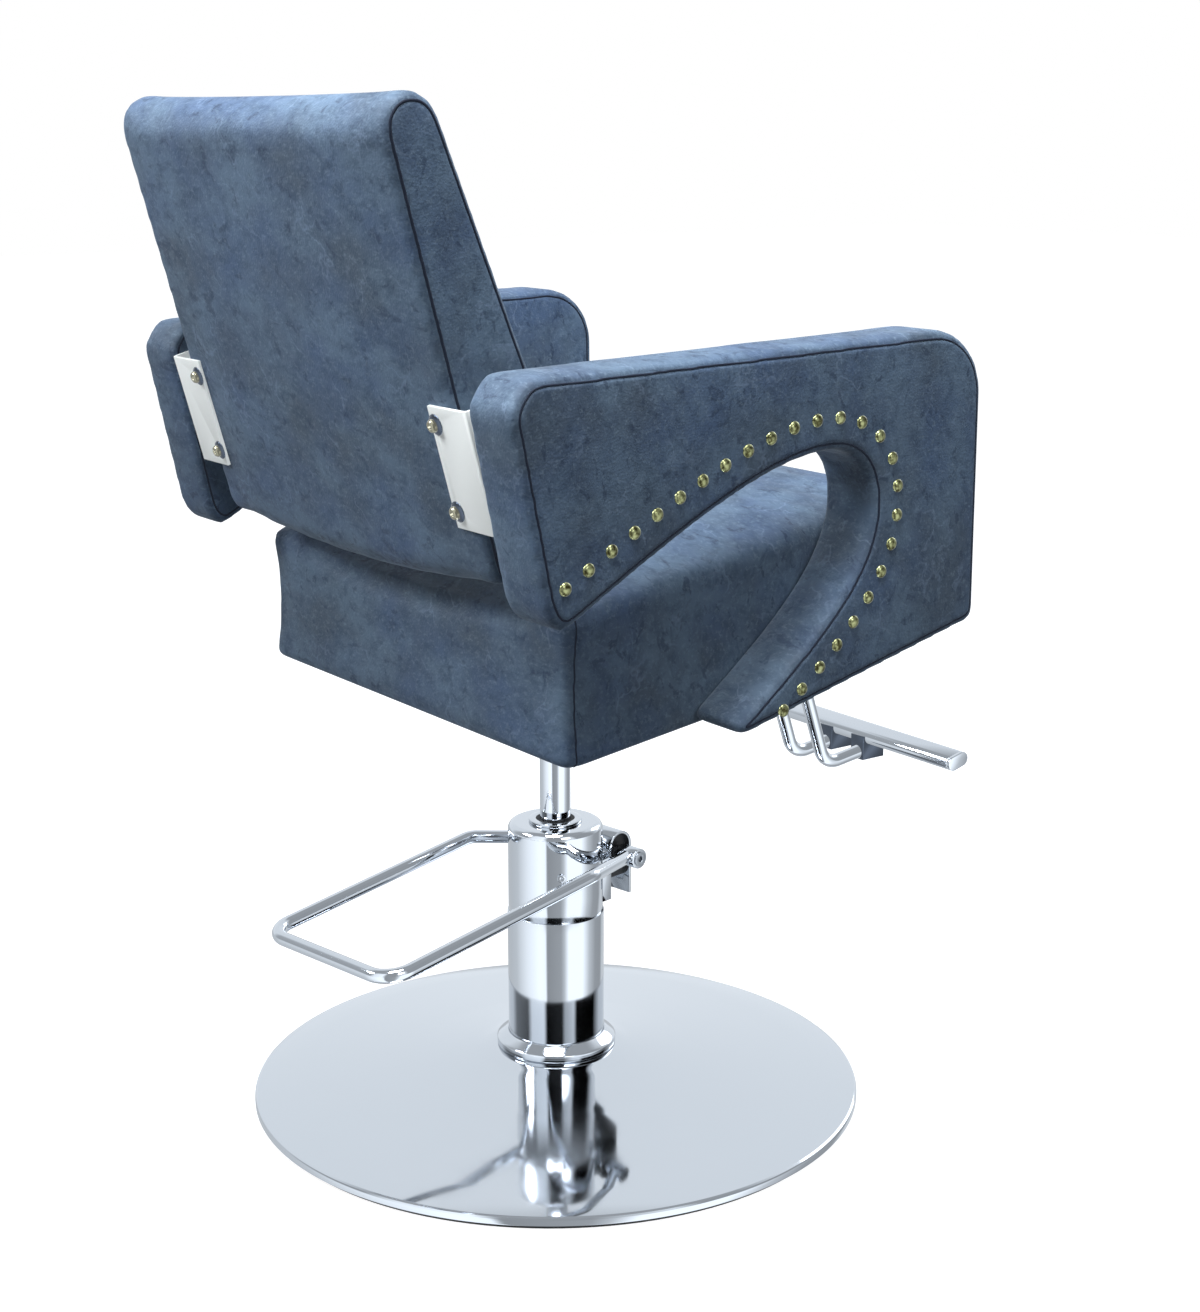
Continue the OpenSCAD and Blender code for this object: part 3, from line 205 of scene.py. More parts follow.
for_chrome = add(sky, "ShaderNodeMixShader", {
    0: rays["Is Glossy Ray"], 1: lit.outputs[0], 2: mirrored_room.outputs[0]})
for_camera = add(sky, "ShaderNodeMixShader", {
    0: rays["Is Camera Ray"], 1: for_chrome.outputs[0], 2: backdrop.outputs[0]})
add(sky, "ShaderNodeOutputWorld", {"Surface": for_camera.outputs[0]})
scene.view_settings.view_transform = "Standard"

# %% Soft panels of light
panels = {   # place, side in metres, watts, spread in degrees, and what it is aimed at
    "panel_top": ((-0.5, 0.5, 2.8), 1.1, 104, 180, (0, 0.1, 0.6)),
    "panel_behind": ((0.9, 1.8, 2.2), 1.1, 6.2, 36, (0, 0.3, 1.1)),
    "panel_camera_side": ((-3.0, 0.4, 2.1), 1.2, 2.8, 44, (-0.33, -0.38, 0.62)),
    "panel_front": ((0.6, -3.2, 1.9), 1.6, 26, 180, (0, 0, 0.55)),
}
for name, (place, side, watts, spread, aim) in panels.items():
    panel_data = bpy.data.lights.new(name, "AREA")
    panel_data.shape = "SQUARE"
    panel_data.size = side
    panel_data.energy = watts
    panel_data.spread = math.radians(spread)
    panel_data.color = light("#eef3fb")[:3]
    panel = bpy.data.objects.new(name, panel_data)
    panel.location = place
    panel.rotation_euler = (Vector(aim) - panel.location).to_track_quat("-Z", "Y").to_euler()
    scene.collection.objects.link(panel)
print("panels of light:", len(panels))

# %% [markdown]
# ## Finishes
# Each finish starts from the real material. A pattern is sized from a real length in
# millimetres: a noise of scale 1 has lumps about a metre wide, so one of 8 mm needs 1000 / 8.

# %% A blank finish
def finish(name, colour, roughness, metallic=0.0):
    """A new material with one Principled shader. Returns the material, its tree and the shader."""
    made = bpy.data.materials.new(name)
    made.use_nodes = True
    shader = made.node_tree.nodes["Principled BSDF"]
    shader.inputs["Base Color"].default_value = light(colour)
    shader.inputs["Roughness"].default_value = roughness
    shader.inputs["Metallic"].default_value = metallic
    print("finish:", name)
    return made, made.node_tree, shader


def per_metre(size_mm):
    """The scale of a pattern whose lumps are this many millimetres wide."""
    return 1000 / size_mm


def cloudy(tree, size_mm, detail=2.0, stretch=(1, 1, 1), **inputs):
    """A cloud pattern with lumps of a real size, in the piece's own coordinates."""
    place = add(tree, "ShaderNodeTexCoord").outputs["Object"]
    stretched = add(tree, "ShaderNodeMapping", {"Vector": place, "Scale": stretch})
    return add(tree, "ShaderNodeTexNoise", {"Vector": stretched.outputs[0], "Scale": per_metre(size_mm),
                                            "Detail": detail, **inputs})


# %% [markdown]
# ### Leatherette
# The cover is leatherette: a knitted cloth with a skin of soft vinyl, printed and embossed to
# look like worn hide. The eye sees a matt skin that clouds over from blue to a paler grey within
# a hand's width. Over it lie dark smears and flakes one to two centimetres wide, longer across
# the chair than up it, then pale specks, and here and there a faint pale crease. A printed image
# could carry all this, but noises of real sizes fit any piece without a seam. The embossed grain
# is finer than this picture can show, so it is drawn coarser, 2.2 mm wide.

# %% The colours of leatherette
leatherette, tree, shader = finish("vinyl_leatherette_blue_grey", "#42536a", 0.5)
clouds = cloudy(tree, 90, 4.0, stretch=(0.7, 1, 1), Roughness=0.55).outputs[0]
colour = layer(tree, light("#465361"), light("#485a73"), clouds, 0.38, 0.62)
dust = cloudy(tree, 60, 3.0, stretch=(0.6, 1, 0.9), Roughness=0.6).outputs[0]
colour = layer(tree, colour, light("#5c6f81"), dust, 0.42, 0.62, share=0.75)
smears = cloudy(tree, 13, 8.0, stretch=(0.6, 1, 1), Roughness=0.68, Distortion=0.35).outputs[0]
colour = layer(tree, colour, light("#2c3b4d"), smears, 0.48, 0.64, share=0.45)
flakes = cloudy(tree, 14, 4.0, stretch=(0.6, 1.15, 0.8), Roughness=0.6, Distortion=0.8).outputs[0]
colour = layer(tree, colour, light("#222f43"), flakes, 0.58, 0.66, share=0.6)
specks = cloudy(tree, 3.4, 4.0, stretch=(0.6, 1, 1), Roughness=0.65).outputs[0]
colour = layer(tree, colour, light("#7a8c9b"), specks, 0.52, 0.74, share=0.45)

# %% Its creases, gloss and grain
own_place = add(tree, "ShaderNodeTexCoord").outputs["Object"]
wander = cloudy(tree, 30, 3.0).outputs[1]
drift = add(tree, "ShaderNodeVectorMath", {0: wander, 1: (0.06, 0.06, 0.06)}, operation="MULTIPLY")
crease_place = add(tree, "ShaderNodeVectorMath", {0: own_place, 1: drift.outputs[0]}, operation="ADD")
creases = add(tree, "ShaderNodeTexVoronoi", {"Vector": crease_place.outputs[0], "Scale": per_metre(60)},
              feature="DISTANCE_TO_EDGE").outputs["Distance"]
faint = add(tree, "ShaderNodeMapRange", {0: creases, 1: 0.0, 2: 0.03, 3: 0.3, 4: 0.0}).outputs[0]
some = add(tree, "ShaderNodeMapRange", {0: cloudy(tree, 40, 3.0).outputs[0], 1: 0.5, 2: 0.6}).outputs[0]
crease_share = add(tree, "ShaderNodeMath", {0: faint, 1: some}, operation="MULTIPLY").outputs[0]
colour = add(tree, "ShaderNodeMix", {0: crease_share, 6: colour, 7: light("#8092a8")}, data_type="RGBA")
tree.links.new(colour.outputs[2], shader.inputs["Base Color"])
shader.inputs["Specular IOR Level"].default_value = 0.25
rubbed = add(tree, "ShaderNodeMapRange", {0: smears, 1: 0.35, 2: 0.7, 3: 0.6, 4: 0.72})
tree.links.new(rubbed.outputs[0], shader.inputs["Roughness"])
grain = add(tree, "ShaderNodeTexVoronoi", {"Vector": own_place, "Scale": per_metre(2.2)})
dents = add(tree, "ShaderNodeMath", {0: grain.outputs["Distance"], 1: cloudy(tree, 12, 4.0).outputs[0]},
            operation="ADD")
relief = add(tree, "ShaderNodeBump", {
    "Height": dents.outputs[0], "Distance": 0.6 * mm, "Strength": 0.35})
tree.links.new(relief.outputs[0], shader.inputs["Normal"])

# %% [markdown]
# ### Metals
# A polished metal could be one mirror with another tint each time. What tells them apart is how
# sharp that mirror is, so each one gets the roughness that its own surface has.

# %% Plated steel, bronze, brass and powder coat
# Chromium plate on polished steel is a hard, slightly cool mirror. Handling blurs it in patches.
chrome, tree, shader = finish("chromium_plate_polished", "#c6cacf", 0.07, 1.0)
blur = cloudy(tree, 45, 4.0).outputs[0]
smudges = add(tree, "ShaderNodeMapRange", {0: blur, 1: 0.4, 2: 0.75, 3: 0.05, 4: 0.12})
tree.links.new(smudges.outputs[0], shader.inputs["Roughness"])

# Satin nickel on belt-ground sheet is pale and softly bright, and shows no clear reflection.
pale_plate = finish("nickel_plate_satin_pale", "#f6f7f1", 0.32, 0.3)[0]

# Zinc from an electroplating bath is grey and dull.
zinc = finish("zinc_plate_dull", "#a7abb0", 0.36, 1.0)[0]

# Bright nickel yellows with age, so bolt heads look straw-coloured beside chrome.
nickel = finish("nickel_plate_yellowed", "#8f8b78", 0.22, 1.0)[0]

# Chrome darkened to a dark mirror for the footrest saddles and the bolt washers: painted shade, as they
# sit in shadow.
chrome_in_painted_shade = finish("chrome_darkened_as_painted_shade", "#4c535e", 0.14, 1.0)[0]

# Bronze that was pressed from powder and soaked in oil is brown and satin.
bronze = finish("bearing_bronze_sintered", "#a8783f", 0.4, 1.0)[0]

# Powder coat melts in an oven to a half-gloss black skin with a faint orange peel. The real peel
# is under a millimetre wide and is drawn 1.5 mm wide to show.
paint, tree, shader = finish("powder_coat_black", "#1b1c1e", 0.48)
peel = add(tree, "ShaderNodeBump", {
    "Height": cloudy(tree, 1.5, 1.0).outputs[0], "Distance": 0.1 * mm, "Strength": 0.3})
tree.links.new(peel.outputs[0], shader.inputs["Normal"])

# Brass nails are darkened in a bath and rubbed bright again, which leaves brown patches.
brass, tree, shader = finish("brass_antiqued", "#93905c", 0.3, 1.0)
tarnish = cloudy(tree, 3.5, 3.0).outputs[0]
colour = layer(tree, light("#403e26"), light("#92946a"), tarnish, 0.38, 0.6)
tree.links.new(colour, shader.inputs["Base Color"])

# %% [markdown]
# ### Rubber, thread, cloth and wood
# These are matt, so a colour and a roughness are nearly all that the eye asks for. Only the wood
# has a pattern, the veneers of its edge.

# %% Matt finishes
# Moulded nitrile rubber is black and matt, with a broad dull shine.
rubber = finish("nitrile_rubber_black", "#17181a", 0.68)[0]

# Bonded nylon thread is twisted and waxed, and too thin to shine.
# The same near-black finish colours the cord along each seam, as painted shade for the seam's fold.
thread_and_seam_shade, tree, shader = finish("nylon_thread_and_painted_seam_shade", "#141c2b", 0.7)
shader.inputs["Specular IOR Level"].default_value = 0.2

# Non-woven polypropylene is felted, not woven, so no light glances off it.
dust_cloth = finish("nonwoven_dust_cloth_black", "#16171a", 0.9)[0]

# Sawn birch plywood shows its veneers as pale and brown bands. A real pair is 3 mm thick, and is
# drawn six times that to show.
plywood, tree, shader = finish("birch_plywood_raw", "#c9a878", 0.62)
plies = add(tree, "ShaderNodeTexWave", {
    "Vector": add(tree, "ShaderNodeTexCoord").outputs["Object"], "Scale": per_metre(3.0) / 20,
    "Distortion": 6.0, "Detail": 2.0}, bands_direction="Z")
wood = add(tree, "ShaderNodeValToRGB", {0: plies.outputs["Fac"]}, stops=[
    (0.2, light("#b98f5c")), (0.8, light("#d8bd92"))])
tree.links.new(wood.outputs[0], shader.inputs["Base Color"])

# %% [markdown]
# ## Rigid pieces
# Turned, bent and plated steel is already the right shape in the construction model. Its faces
# are flat facets, though, and chrome shows every one. A copy of each piece has its loose
# triangles joined, its curved faces shaded smoothly, and its edges broken by a small chamfer,
# as a real polished edge is. The copy then stands for the piece.

# %% Which finish each slot has
finishes = {
    "leatherette": leatherette, "polished_chrome": chrome, "dark_steel": paint, "zinc_steel": zinc,
    "bronze": bronze, "antique_brass": brass, "pale_plate": pale_plate, "black_rubber": rubber,
    "plywood": plywood,
}
slots = {part["node"]: part["material_slot"] for part in frame["record"]["subparts"]}
for name, node in frame["nodes"].items():
    for place in node.material_slots:
        place.material = finishes[slots[name]]
print("slots:", sorted(set(slots.values())))
bodies = frame["record"]["behaviour"]["bodies"]
body_of = {node: body for body, nodes in bodies.items() for node in nodes}

# %% Joining and smoothing
merge_within = 0.002 * mm


def coordinates(mesh):
    """The places of a mesh's points, as rows of x, y, z."""
    flat = np.empty(len(mesh.vertices) * 3, dtype=np.float32)
    mesh.vertices.foreach_get("co", flat)
    return flat.reshape(-1, 3).astype(np.float64)


def joined(node_name):
    """A construction piece as an editable shape whose loose triangles are joined."""
    source = frame["nodes"][node_name].data
    loose = bpy.data.meshes.new("loose")
    loose.from_pydata(coordinates(source).tolist(), [], [tuple(p.vertices) for p in source.polygons])
    shape = bmesh.new()
    shape.from_mesh(loose)
    bpy.data.meshes.remove(loose)
    bmesh.ops.remove_doubles(shape, verts=shape.verts, dist=merge_within)
    return shape


def piece_from(shape, name, material):
    """A new object made of an editable shape."""
    mesh = bpy.data.meshes.new(name)
    shape.to_mesh(mesh)
    shape.free()
    mesh.materials.append(material)
    piece = bpy.data.objects.new(name, mesh)
    scene.collection.objects.link(piece)
    return piece


def settle(piece):
    """Turns what the modifiers make into the piece's own plain mesh, and removes them."""
    bpy.context.view_layer.update()
    evaluated = piece.evaluated_get(bpy.context.evaluated_depsgraph_get())
    mesh = bpy.data.meshes.new_from_object(evaluated)
    piece.modifiers.clear()
    mesh.name = piece.name
    piece.data = mesh


def smooth(piece, sharpest=32):
    """Shades a piece smoothly, apart from edges that turn by more than this many degrees."""
    shape = bmesh.new()
    shape.from_mesh(piece.data)
    for face in shape.faces:
        face.smooth = True
    for edge in shape.edges:
        edge.smooth = len(edge.link_faces) == 2 and edge.calc_face_angle(0) < math.radians(sharpest)
    shape.to_mesh(piece.data)
    shape.free()


# %% Where a piece belongs
def belongs(piece, body, slot, *nodes):
    """Puts a piece on its moving body and says which nodes it stands for. Its slot is not used."""
    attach(piece, body)
    if nodes:
        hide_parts(*nodes)
    # The photograph's chrome mirrors nothing of the seat, nor of the washer under its hub.
    piece.visible_glossy = body != "seat" and "hub_washer" not in nodes


# %% [markdown]
# ### Turned pieces
# The dish was spun, and the collar, the tube, the cap and the ram were turned on a lathe, so one
# outline makes each of them. A cylinder could be pulled into shape, but chrome shows every facet.
# So the outline is cut from the construction piece, its gentle bends get more points, and
# Geometry Nodes sweep it round a circle in fine steps, as the lathe does.

# %% Geometry Nodes trees
def new_tree(name, **sizes):
    """An empty Geometry Nodes tree with an input for each size and one for a finish. Returns the tree
    and what its inputs give."""
    tree = bpy.data.node_groups.new(name, "GeometryNodeTree")
    tree.interface.new_socket("Geometry", in_out="INPUT", socket_type="NodeSocketGeometry")
    for label, value in sizes.items():
        kind = "NodeSocketInt" if isinstance(value, int) else "NodeSocketFloat"
        tree.interface.new_socket(label, in_out="INPUT", socket_type=kind).default_value = value
    tree.interface.new_socket("finish", in_out="INPUT", socket_type="NodeSocketMaterial")
    tree.interface.new_socket("Geometry", in_out="OUTPUT", socket_type="NodeSocketGeometry")
    return tree, tree.nodes.new("NodeGroupInput").outputs


def end_tree(tree, made, given, rounded=True):
    """Ends a tree: its copies become real, shaded smoothly if wanted, and get the finish."""
    made = add(tree, "GeometryNodeRealizeInstances", {0: made}).outputs[0]
    if rounded:
        made = add(tree, "GeometryNodeSetShadeSmooth", {0: made}).outputs[0]
    coloured = add(tree, "GeometryNodeSetMaterial", {"Geometry": made, "Material": given["finish"]})
    add(tree, "NodeGroupOutput", {0: coloured.outputs[0]})


def run_tree(name, points, edges, tree, **values):
    """Gives points and the lines between them to a tree, and keeps what it makes as a plain mesh."""
    mesh = bpy.data.meshes.new(name)
    mesh.from_pydata(points, edges, [])
    piece = bpy.data.objects.new(name, mesh)
    scene.collection.objects.link(piece)
    steps = piece.modifiers.new("steps", "NODES")
    steps.node_group = tree
    for socket in tree.interface.items_tree:
        if socket.in_out == "INPUT" and socket.name in values:
            steps[socket.identifier] = values[socket.name]
    settle(piece)
    return piece


# %% A tree that turns an outline
turning, given = new_tree("turn_an_outline", lathe_radius=5 * mm, steps=128)
profile = add(turning, "GeometryNodeMeshToCurve", {0: given["Geometry"]})
lathe = add(turning, "GeometryNodeCurvePrimitiveCircle", {
    "Resolution": given["steps"], "Radius": given["lathe_radius"]})
swept = add(turning, "GeometryNodeCurveToMesh", {
    "Curve": lathe.outputs[0], "Profile Curve": profile.outputs[0]})
closed = add(turning, "GeometryNodeMergeByDistance", {0: swept.outputs[0], "Distance": 0.001 * mm})
end_tree(turning, closed.outputs[0], given, rounded=False)


# %% The outline of a turned piece
def outline_of(node_name):
    """The outline of a turned piece as points (radius, height), and whether it closes on itself."""
    shape = joined(node_name)
    for across in ((1, 0, 0), (0, 1, 0)):
        whole = shape.verts[:] + shape.edges[:] + shape.faces[:]
        cut = bmesh.ops.bisect_plane(
            shape, geom=whole, dist=1e-7, plane_co=(0, 0, 0), plane_no=across)["geom_cut"]
    following = {}
    for edge in cut:
        if isinstance(edge, bmesh.types.BMEdge) and all(v.co.x > -1e-6 for v in edge.verts):
            ends = [(round(v.co.x, 6), round(v.co.z, 6)) for v in edge.verts]
            for k in (0, 1):
                following.setdefault(ends[k], set()).add(ends[1 - k])
    shape.free()
    loose_ends = [end for end, ways in following.items() if len(ways) == 1]
    at = loose_ends[0] if loose_ends else next(iter(following))
    line = []
    while at:
        line.append(at)
        ways = [way for way in following.pop(at) if way in following]
        at = ways[0] if ways else None
    return np.array(line), not loose_ends


def rounder(line, closed, straight=0.2, gentle=24, cuts=4):
    """Adds points to the gentle bends of an outline. Its corners and straight runs stay as they
    are. A turn of less than straight degrees is none, and one of less than gentle degrees a bend."""
    def turn_at(k, points):
        if not closed and k in (0, len(points) - 1):
            return 180.0
        one, two = points[k] - points[k - 1], points[(k + 1) % len(points)] - points[k]
        return abs(math.degrees(math.atan2(one[0] * two[1] - one[1] * two[0], one @ two)))
    line = np.array([line[k] for k in range(len(line)) if turn_at(k, line) > straight])
    bends = [turn_at(k, line) < gentle for k in range(len(line))]
    last = len(line) if closed else len(line) - 1
    made = []
    for k in range(last):
        start, end = line[k], line[(k + 1) % len(line)]
        run = np.linalg.norm(end - start)
        leave = arrive = end - start
        if bends[k]:
            leave = (end - line[k - 1]) / np.linalg.norm(end - line[k - 1]) * run
        if bends[(k + 1) % len(line)]:
            onward = line[(k + 2) % len(line)] - start
            arrive = onward / np.linalg.norm(onward) * run
        for t in np.arange(cuts) / cuts if bends[k] or bends[(k + 1) % len(line)] else [0.0]:
            made.append((2 * t**3 - 3 * t**2 + 1) * start + (t**3 - 2 * t**2 + t) * leave
                        + (3 * t**2 - 2 * t**3) * end + (t**3 - t**2) * arrive)
    return np.array(made if closed else made + [line[-1]])


# %% Broken edges
chamfer = 0.35 * mm
sharp_from = math.radians(40)


def finish_edges(piece):
    """Breaks a piece's sharp edges by a small chamfer and shades the rest smoothly."""
    bevel = piece.modifiers.new("chamfer", "BEVEL")
    bevel.width = chamfer
    bevel.segments = 2
    bevel.limit_method = "ANGLE"
    bevel.angle_limit = sharp_from
    settle(piece)
    smooth(piece)


# %% Turn them
lathe_radius = 5 * mm
turned_nodes = ["base_disc", "base_collar", "pump_tube", "pump_cap", "ram", "ram_bush", "ram_seal"]
for name in turned_nodes:
    line, is_closed = outline_of(name)
    line = rounder(line, is_closed)
    points = [(radius - lathe_radius, -z, 0) for radius, z in line]
    edges = [(k, (k + 1) % len(points)) for k in range(len(points) if is_closed else len(points) - 1)]
    steps = 256 if name == "base_disc" else 128
    piece = run_tree(name + "_turned", points, edges, turning,
                     lathe_radius=lathe_radius, steps=steps, finish=finishes[slots[name]])
    shape = bmesh.new()
    shape.from_mesh(piece.data)
    bmesh.ops.recalc_face_normals(shape, faces=shape.faces)
    shape.to_mesh(piece.data)
    shape.free()
    finish_edges(piece)
    belongs(piece, body_of[name], slots[name], name)
    print(name, len(line), "points,", len(piece.data.polygons), "faces, width",
          round(piece.dimensions.x / mm, 1), "mm")

# %% [markdown]
# ### Bent bars
# The pedal is one round bar bent four times, and each footrest tube is bent twice. A bar could be
# built of straight and curved lengths, but polished chrome shows every joint. So the middle line
# is drawn with its real bend radii, and Geometry Nodes sweep a circle along it in one run.

# %% The middle line of a bent bar
def bent_line(corners, radii, step=math.radians(3)):
    """A line through corners given in millimetres, each inner one rounded by a real bend radius."""
    corners = [Vector(corner) for corner in corners]
    line = [corners[0]]
    for before, corner, after, radius in zip(corners, corners[1:], corners[2:], radii):
        arriving, leaving = (corner - before).normalized(), (after - corner).normalized()
        bend = arriving.angle(leaving)
        axis = arriving.cross(leaving).normalized()
        start = corner - arriving * radius * math.tan(bend / 2)
        centre = start + axis.cross(arriving) * radius
        count = max(2, round(bend / step))
        line += [centre + Matrix.Rotation(bend * k / count, 3, axis) @ (start - centre)
                 for k in range(count + 1)]
    return line + [corners[-1]]


bending, given = new_tree("bend_a_bar", bar_radius=6.5 * mm)
middle = add(bending, "GeometryNodeMeshToCurve", {0: given["Geometry"]})
section = add(bending, "GeometryNodeCurvePrimitiveCircle", {
    "Resolution": 40, "Radius": given["bar_radius"]})
bar = add(bending, "GeometryNodeCurveToMesh", {
    "Curve": middle.outputs[0], "Profile Curve": section.outputs[0], "Fill Caps": True})
end_tree(bending, bar.outputs[0], given, rounded=False)

# %% Bend them
pedal_turn = Matrix.Rotation(math.radians(10), 3, "Z")   # the pedal stands a little askew
pedal_corners = [(-44, -56, 240), (-85, 35, 253), (-85, 288, 221),
                 (85, 288, 221), (85, 35, 253), (44, -56, 240)]
foot_corners = [(25, -136.052, 444.954), (25, -267.758, 463.464), (25, -328, 286), (25, -400, 296.3)]
bars = {   # corners and bend radii in millimetres, and the bar's own radius
    "pedal_bar": ([pedal_turn @ Vector(c) for c in pedal_corners], (30, 25, 25, 30), 6.5),
    "footrest_tube_left": (foot_corners, (28, 22), 7.0),
    "footrest_tube_right": ([(-x, y, z) for x, y, z in foot_corners], (28, 22), 7.0),
}
for name, (corners, radii, radius) in bars.items():
    line = [point * mm for point in bent_line(corners, radii)]
    edges = [(k, k + 1) for k in range(len(line) - 1)]
    piece = run_tree(name + "_bent", line, edges, bending, bar_radius=radius * mm, finish=chrome)
    smooth(piece)
    belongs(piece, body_of[name], slots[name], name)
    low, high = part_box(name)
    print(name, len(piece.data.polygons), "faces, size", [round(d / mm, 1) for d in piece.dimensions],
          "of", [round(d / mm, 1) for d in high - low], "mm")

# %% [markdown]
# ### Bent, cut and pressed pieces
# The other metal and wooden pieces are sawn, bent or pressed. They could be modelled again, but
# the construction model already has their shape, so only their edges and shading are finished.

# %% Polished copies of the other rigid pieces
soft_nodes = {"seat_cushion", "back_cushion", "arm_pad_right", "arm_pad_left"}
wound_or_driven = {"arm_nails_right", "arm_nails_left", "plunger_spring"}
rebuilt = soft_nodes | set(turned_nodes) | set(bars) | wound_or_driven
# The saddles and the bolt washers get chrome darkened as painted shade.
special = {"footrest_saddles": chrome_in_painted_shade, "cap_screw": chrome, "back_bolts": nickel,
           "back_washers": chrome_in_painted_shade}
flat_within = math.radians(0.3)
for name in sorted(set(frame["nodes"]) - rebuilt):
    shape = joined(name)
    bmesh.ops.dissolve_limit(shape, angle_limit=flat_within, verts=shape.verts, edges=shape.edges)
    piece = piece_from(shape, name + "_finished", special.get(name, finishes[slots[name]]))
    finish_edges(piece)
    belongs(piece, body_of[name], slots[name], name)
print("polished copies:", len(frame["nodes"]) - len(rebuilt))

# %% [markdown]
# ### The pump's spring
# Under the pedal a coil spring of hard steel wire lifts the small plunger again. It could be made
# of stacked rings, but it was wound from one wire, so it is swept along a spiral. Each pedal stroke
# shortens it. Here it keeps the length that it has in the construction model, standing on its lower
# end.

# %% Wind the spring
wire_radius = 0.8 * mm
winding, given = new_tree("wind_a_spring", radius=4.8 * mm, length=18 * mm, turns=5.0,
                          wire_radius=wire_radius)
spiral = add(winding, "GeometryNodeCurveSpiral", {
    "Resolution": 24, "Rotations": given["turns"], "Height": given["length"],
    "Start Radius": given["radius"], "End Radius": given["radius"]})
wire = add(winding, "GeometryNodeCurvePrimitiveCircle", {
    "Resolution": 10, "Radius": given["wire_radius"]})
coil = add(winding, "GeometryNodeCurveToMesh", {
    "Curve": spiral.outputs[0], "Profile Curve": wire.outputs[0], "Fill Caps": True})
end_tree(winding, coil.outputs[0], given)

spring_low, spring_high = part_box("plunger_spring")
spring = run_tree("plunger_spring_wound", [(0, 0, 0)], [], winding, finish=zinc,
                  radius=(spring_high.x - spring_low.x) / 2 - wire_radius,
                  length=spring_high.z - spring_low.z - 2 * wire_radius)
foot = Vector(((spring_low.x + spring_high.x) / 2, (spring_low.y + spring_high.y) / 2, spring_low.z))
for v in spring.data.vertices:
    v.co += foot + Vector((0, 0, wire_radius))
belongs(spring, "base", "zinc_steel", "plunger_spring")
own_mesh(spring)
print("spring length", round((spring_high.z - spring_low.z) / mm, 1), "mm")

# %% [markdown]
# ## Cushions
# Each cushion is foam round a plywood core under a sewn cover. The construction model has only
# its tight outer form. Modelling the bulges by hand is slow and looks drawn, so the cover is
# blown up as cloth: its points get a little pressure from inside while the seams, the nails and
# every place where it is pressed against something hold it. How far a point may move is capped,
# because foam fills a cover and does not make a balloon.

# %% The closed cover of a cushion
core_gap = 0.7 * mm


def cover_of(node_name, core_names):
    """The outer skin of a padded piece. The hollow round its core and its bolt holes are closed."""
    shape = joined(node_name)
    for core_name in core_names:
        core = joined(core_name)
        surface = BVHTree.FromBMesh(core)
        beside = [v for v in shape.verts if surface.find_nearest(v.co, core_gap)[0]]
        hollow = {face for v in beside for face in v.link_faces}
        bmesh.ops.delete(shape, geom=list(hollow), context="FACES")
        core.free()
    rims = [edge for edge in shape.edges if edge.is_boundary]
    bmesh.ops.holes_fill(shape, edges=rims, sides=0)
    bmesh.ops.delete(shape, geom=[v for v in shape.verts if not v.link_faces], context="VERTS")
    bmesh.ops.recalc_face_normals(shape, faces=shape.faces)
    return shape


# %% The net of a cover
def even(piece, size, passes=2, pitch=0.0):
    """Gives a cover an even net of squares, as cloth needs. A tilted cover is levelled meanwhile,
    so that its edges stay straight."""
    level_it = Matrix.Rotation(-pitch, 4, "X")
    piece.data.transform(level_it)
    net = piece.modifiers.new("net", "REMESH")
    net.mode = "VOXEL"
    net.voxel_size = size
    calm = piece.modifiers.new("calm", "SMOOTH")
    calm.factor = 0.5
    calm.iterations = passes
    settle(piece)
    piece.data.transform(level_it.inverted())


def normals_of(mesh):
    """The directions in which a mesh's points face, as rows of x, y, z."""
    flat = np.empty(len(mesh.vertices) * 3, dtype=np.float32)
    mesh.vertex_normals.foreach_get("vector", flat)
    return flat.reshape(-1, 3).astype(np.float64)


# %% The stuffing
held_below = 0.15 * mm   # a point that may move less than this is held


def stuff(piece, cap, pressure=4.0, steps=14):
    """Blows a cover up as cloth. cap says how far each point may move, and zero holds it."""
    rest = coordinates(piece.data)
    held = piece.vertex_groups.new(name="held")
    held.add([int(k) for k in np.flatnonzero(cap < held_below)], 1.0, "REPLACE")
    cloth = piece.modifiers.new("stuffing", "CLOTH")
    cloth.settings.quality = 3
    cloth.settings.use_pressure = True
    cloth.settings.uniform_pressure_force = pressure
    cloth.settings.effector_weights.gravity = 0
    cloth.settings.vertex_group_mass = "held"
    cloth.point_cache.frame_start = 1
    cloth.point_cache.frame_end = steps
    for step in range(1, steps + 1):
        scene.frame_set(step)
    swollen = coordinates(piece.evaluated_get(bpy.context.evaluated_depsgraph_get()).data)
    piece.modifiers.remove(cloth)
    piece.vertex_groups.clear()
    scene.frame_set(1)
    move = swollen - rest
    length = np.linalg.norm(move, axis=1)
    kept = cap * np.tanh(length / np.maximum(cap, 1e-6)) / np.maximum(length, 1e-9)
    placed = rest + move * kept[:, None]
    piece.data.vertices.foreach_set("co", placed.astype(np.float32).ravel())
    piece.data.update()
    return float((length * kept).max())


def refine(piece):
    """One subdivision, so that folds and bulges are round."""
    finer = piece.modifiers.new("finer", "SUBSURF")
    finer.levels = 1
    finer.render_levels = 1
    settle(piece)
    for face in piece.data.polygons:
        face.use_smooth = True


# %% [markdown]
# ## Seams
# A cover is cut from flat panels. On the arms and the back, a band of leatherette runs round the
# edge and is sewn to a side panel, so a seam circles each flat face just inside the rounded edge.
# Its path could be drawn point by point. It is read from the construction model instead: it is
# the border of that face, so it fits whatever size the chair has.

# %% Finding the border of a flat face
flat_to = 0.02 * mm


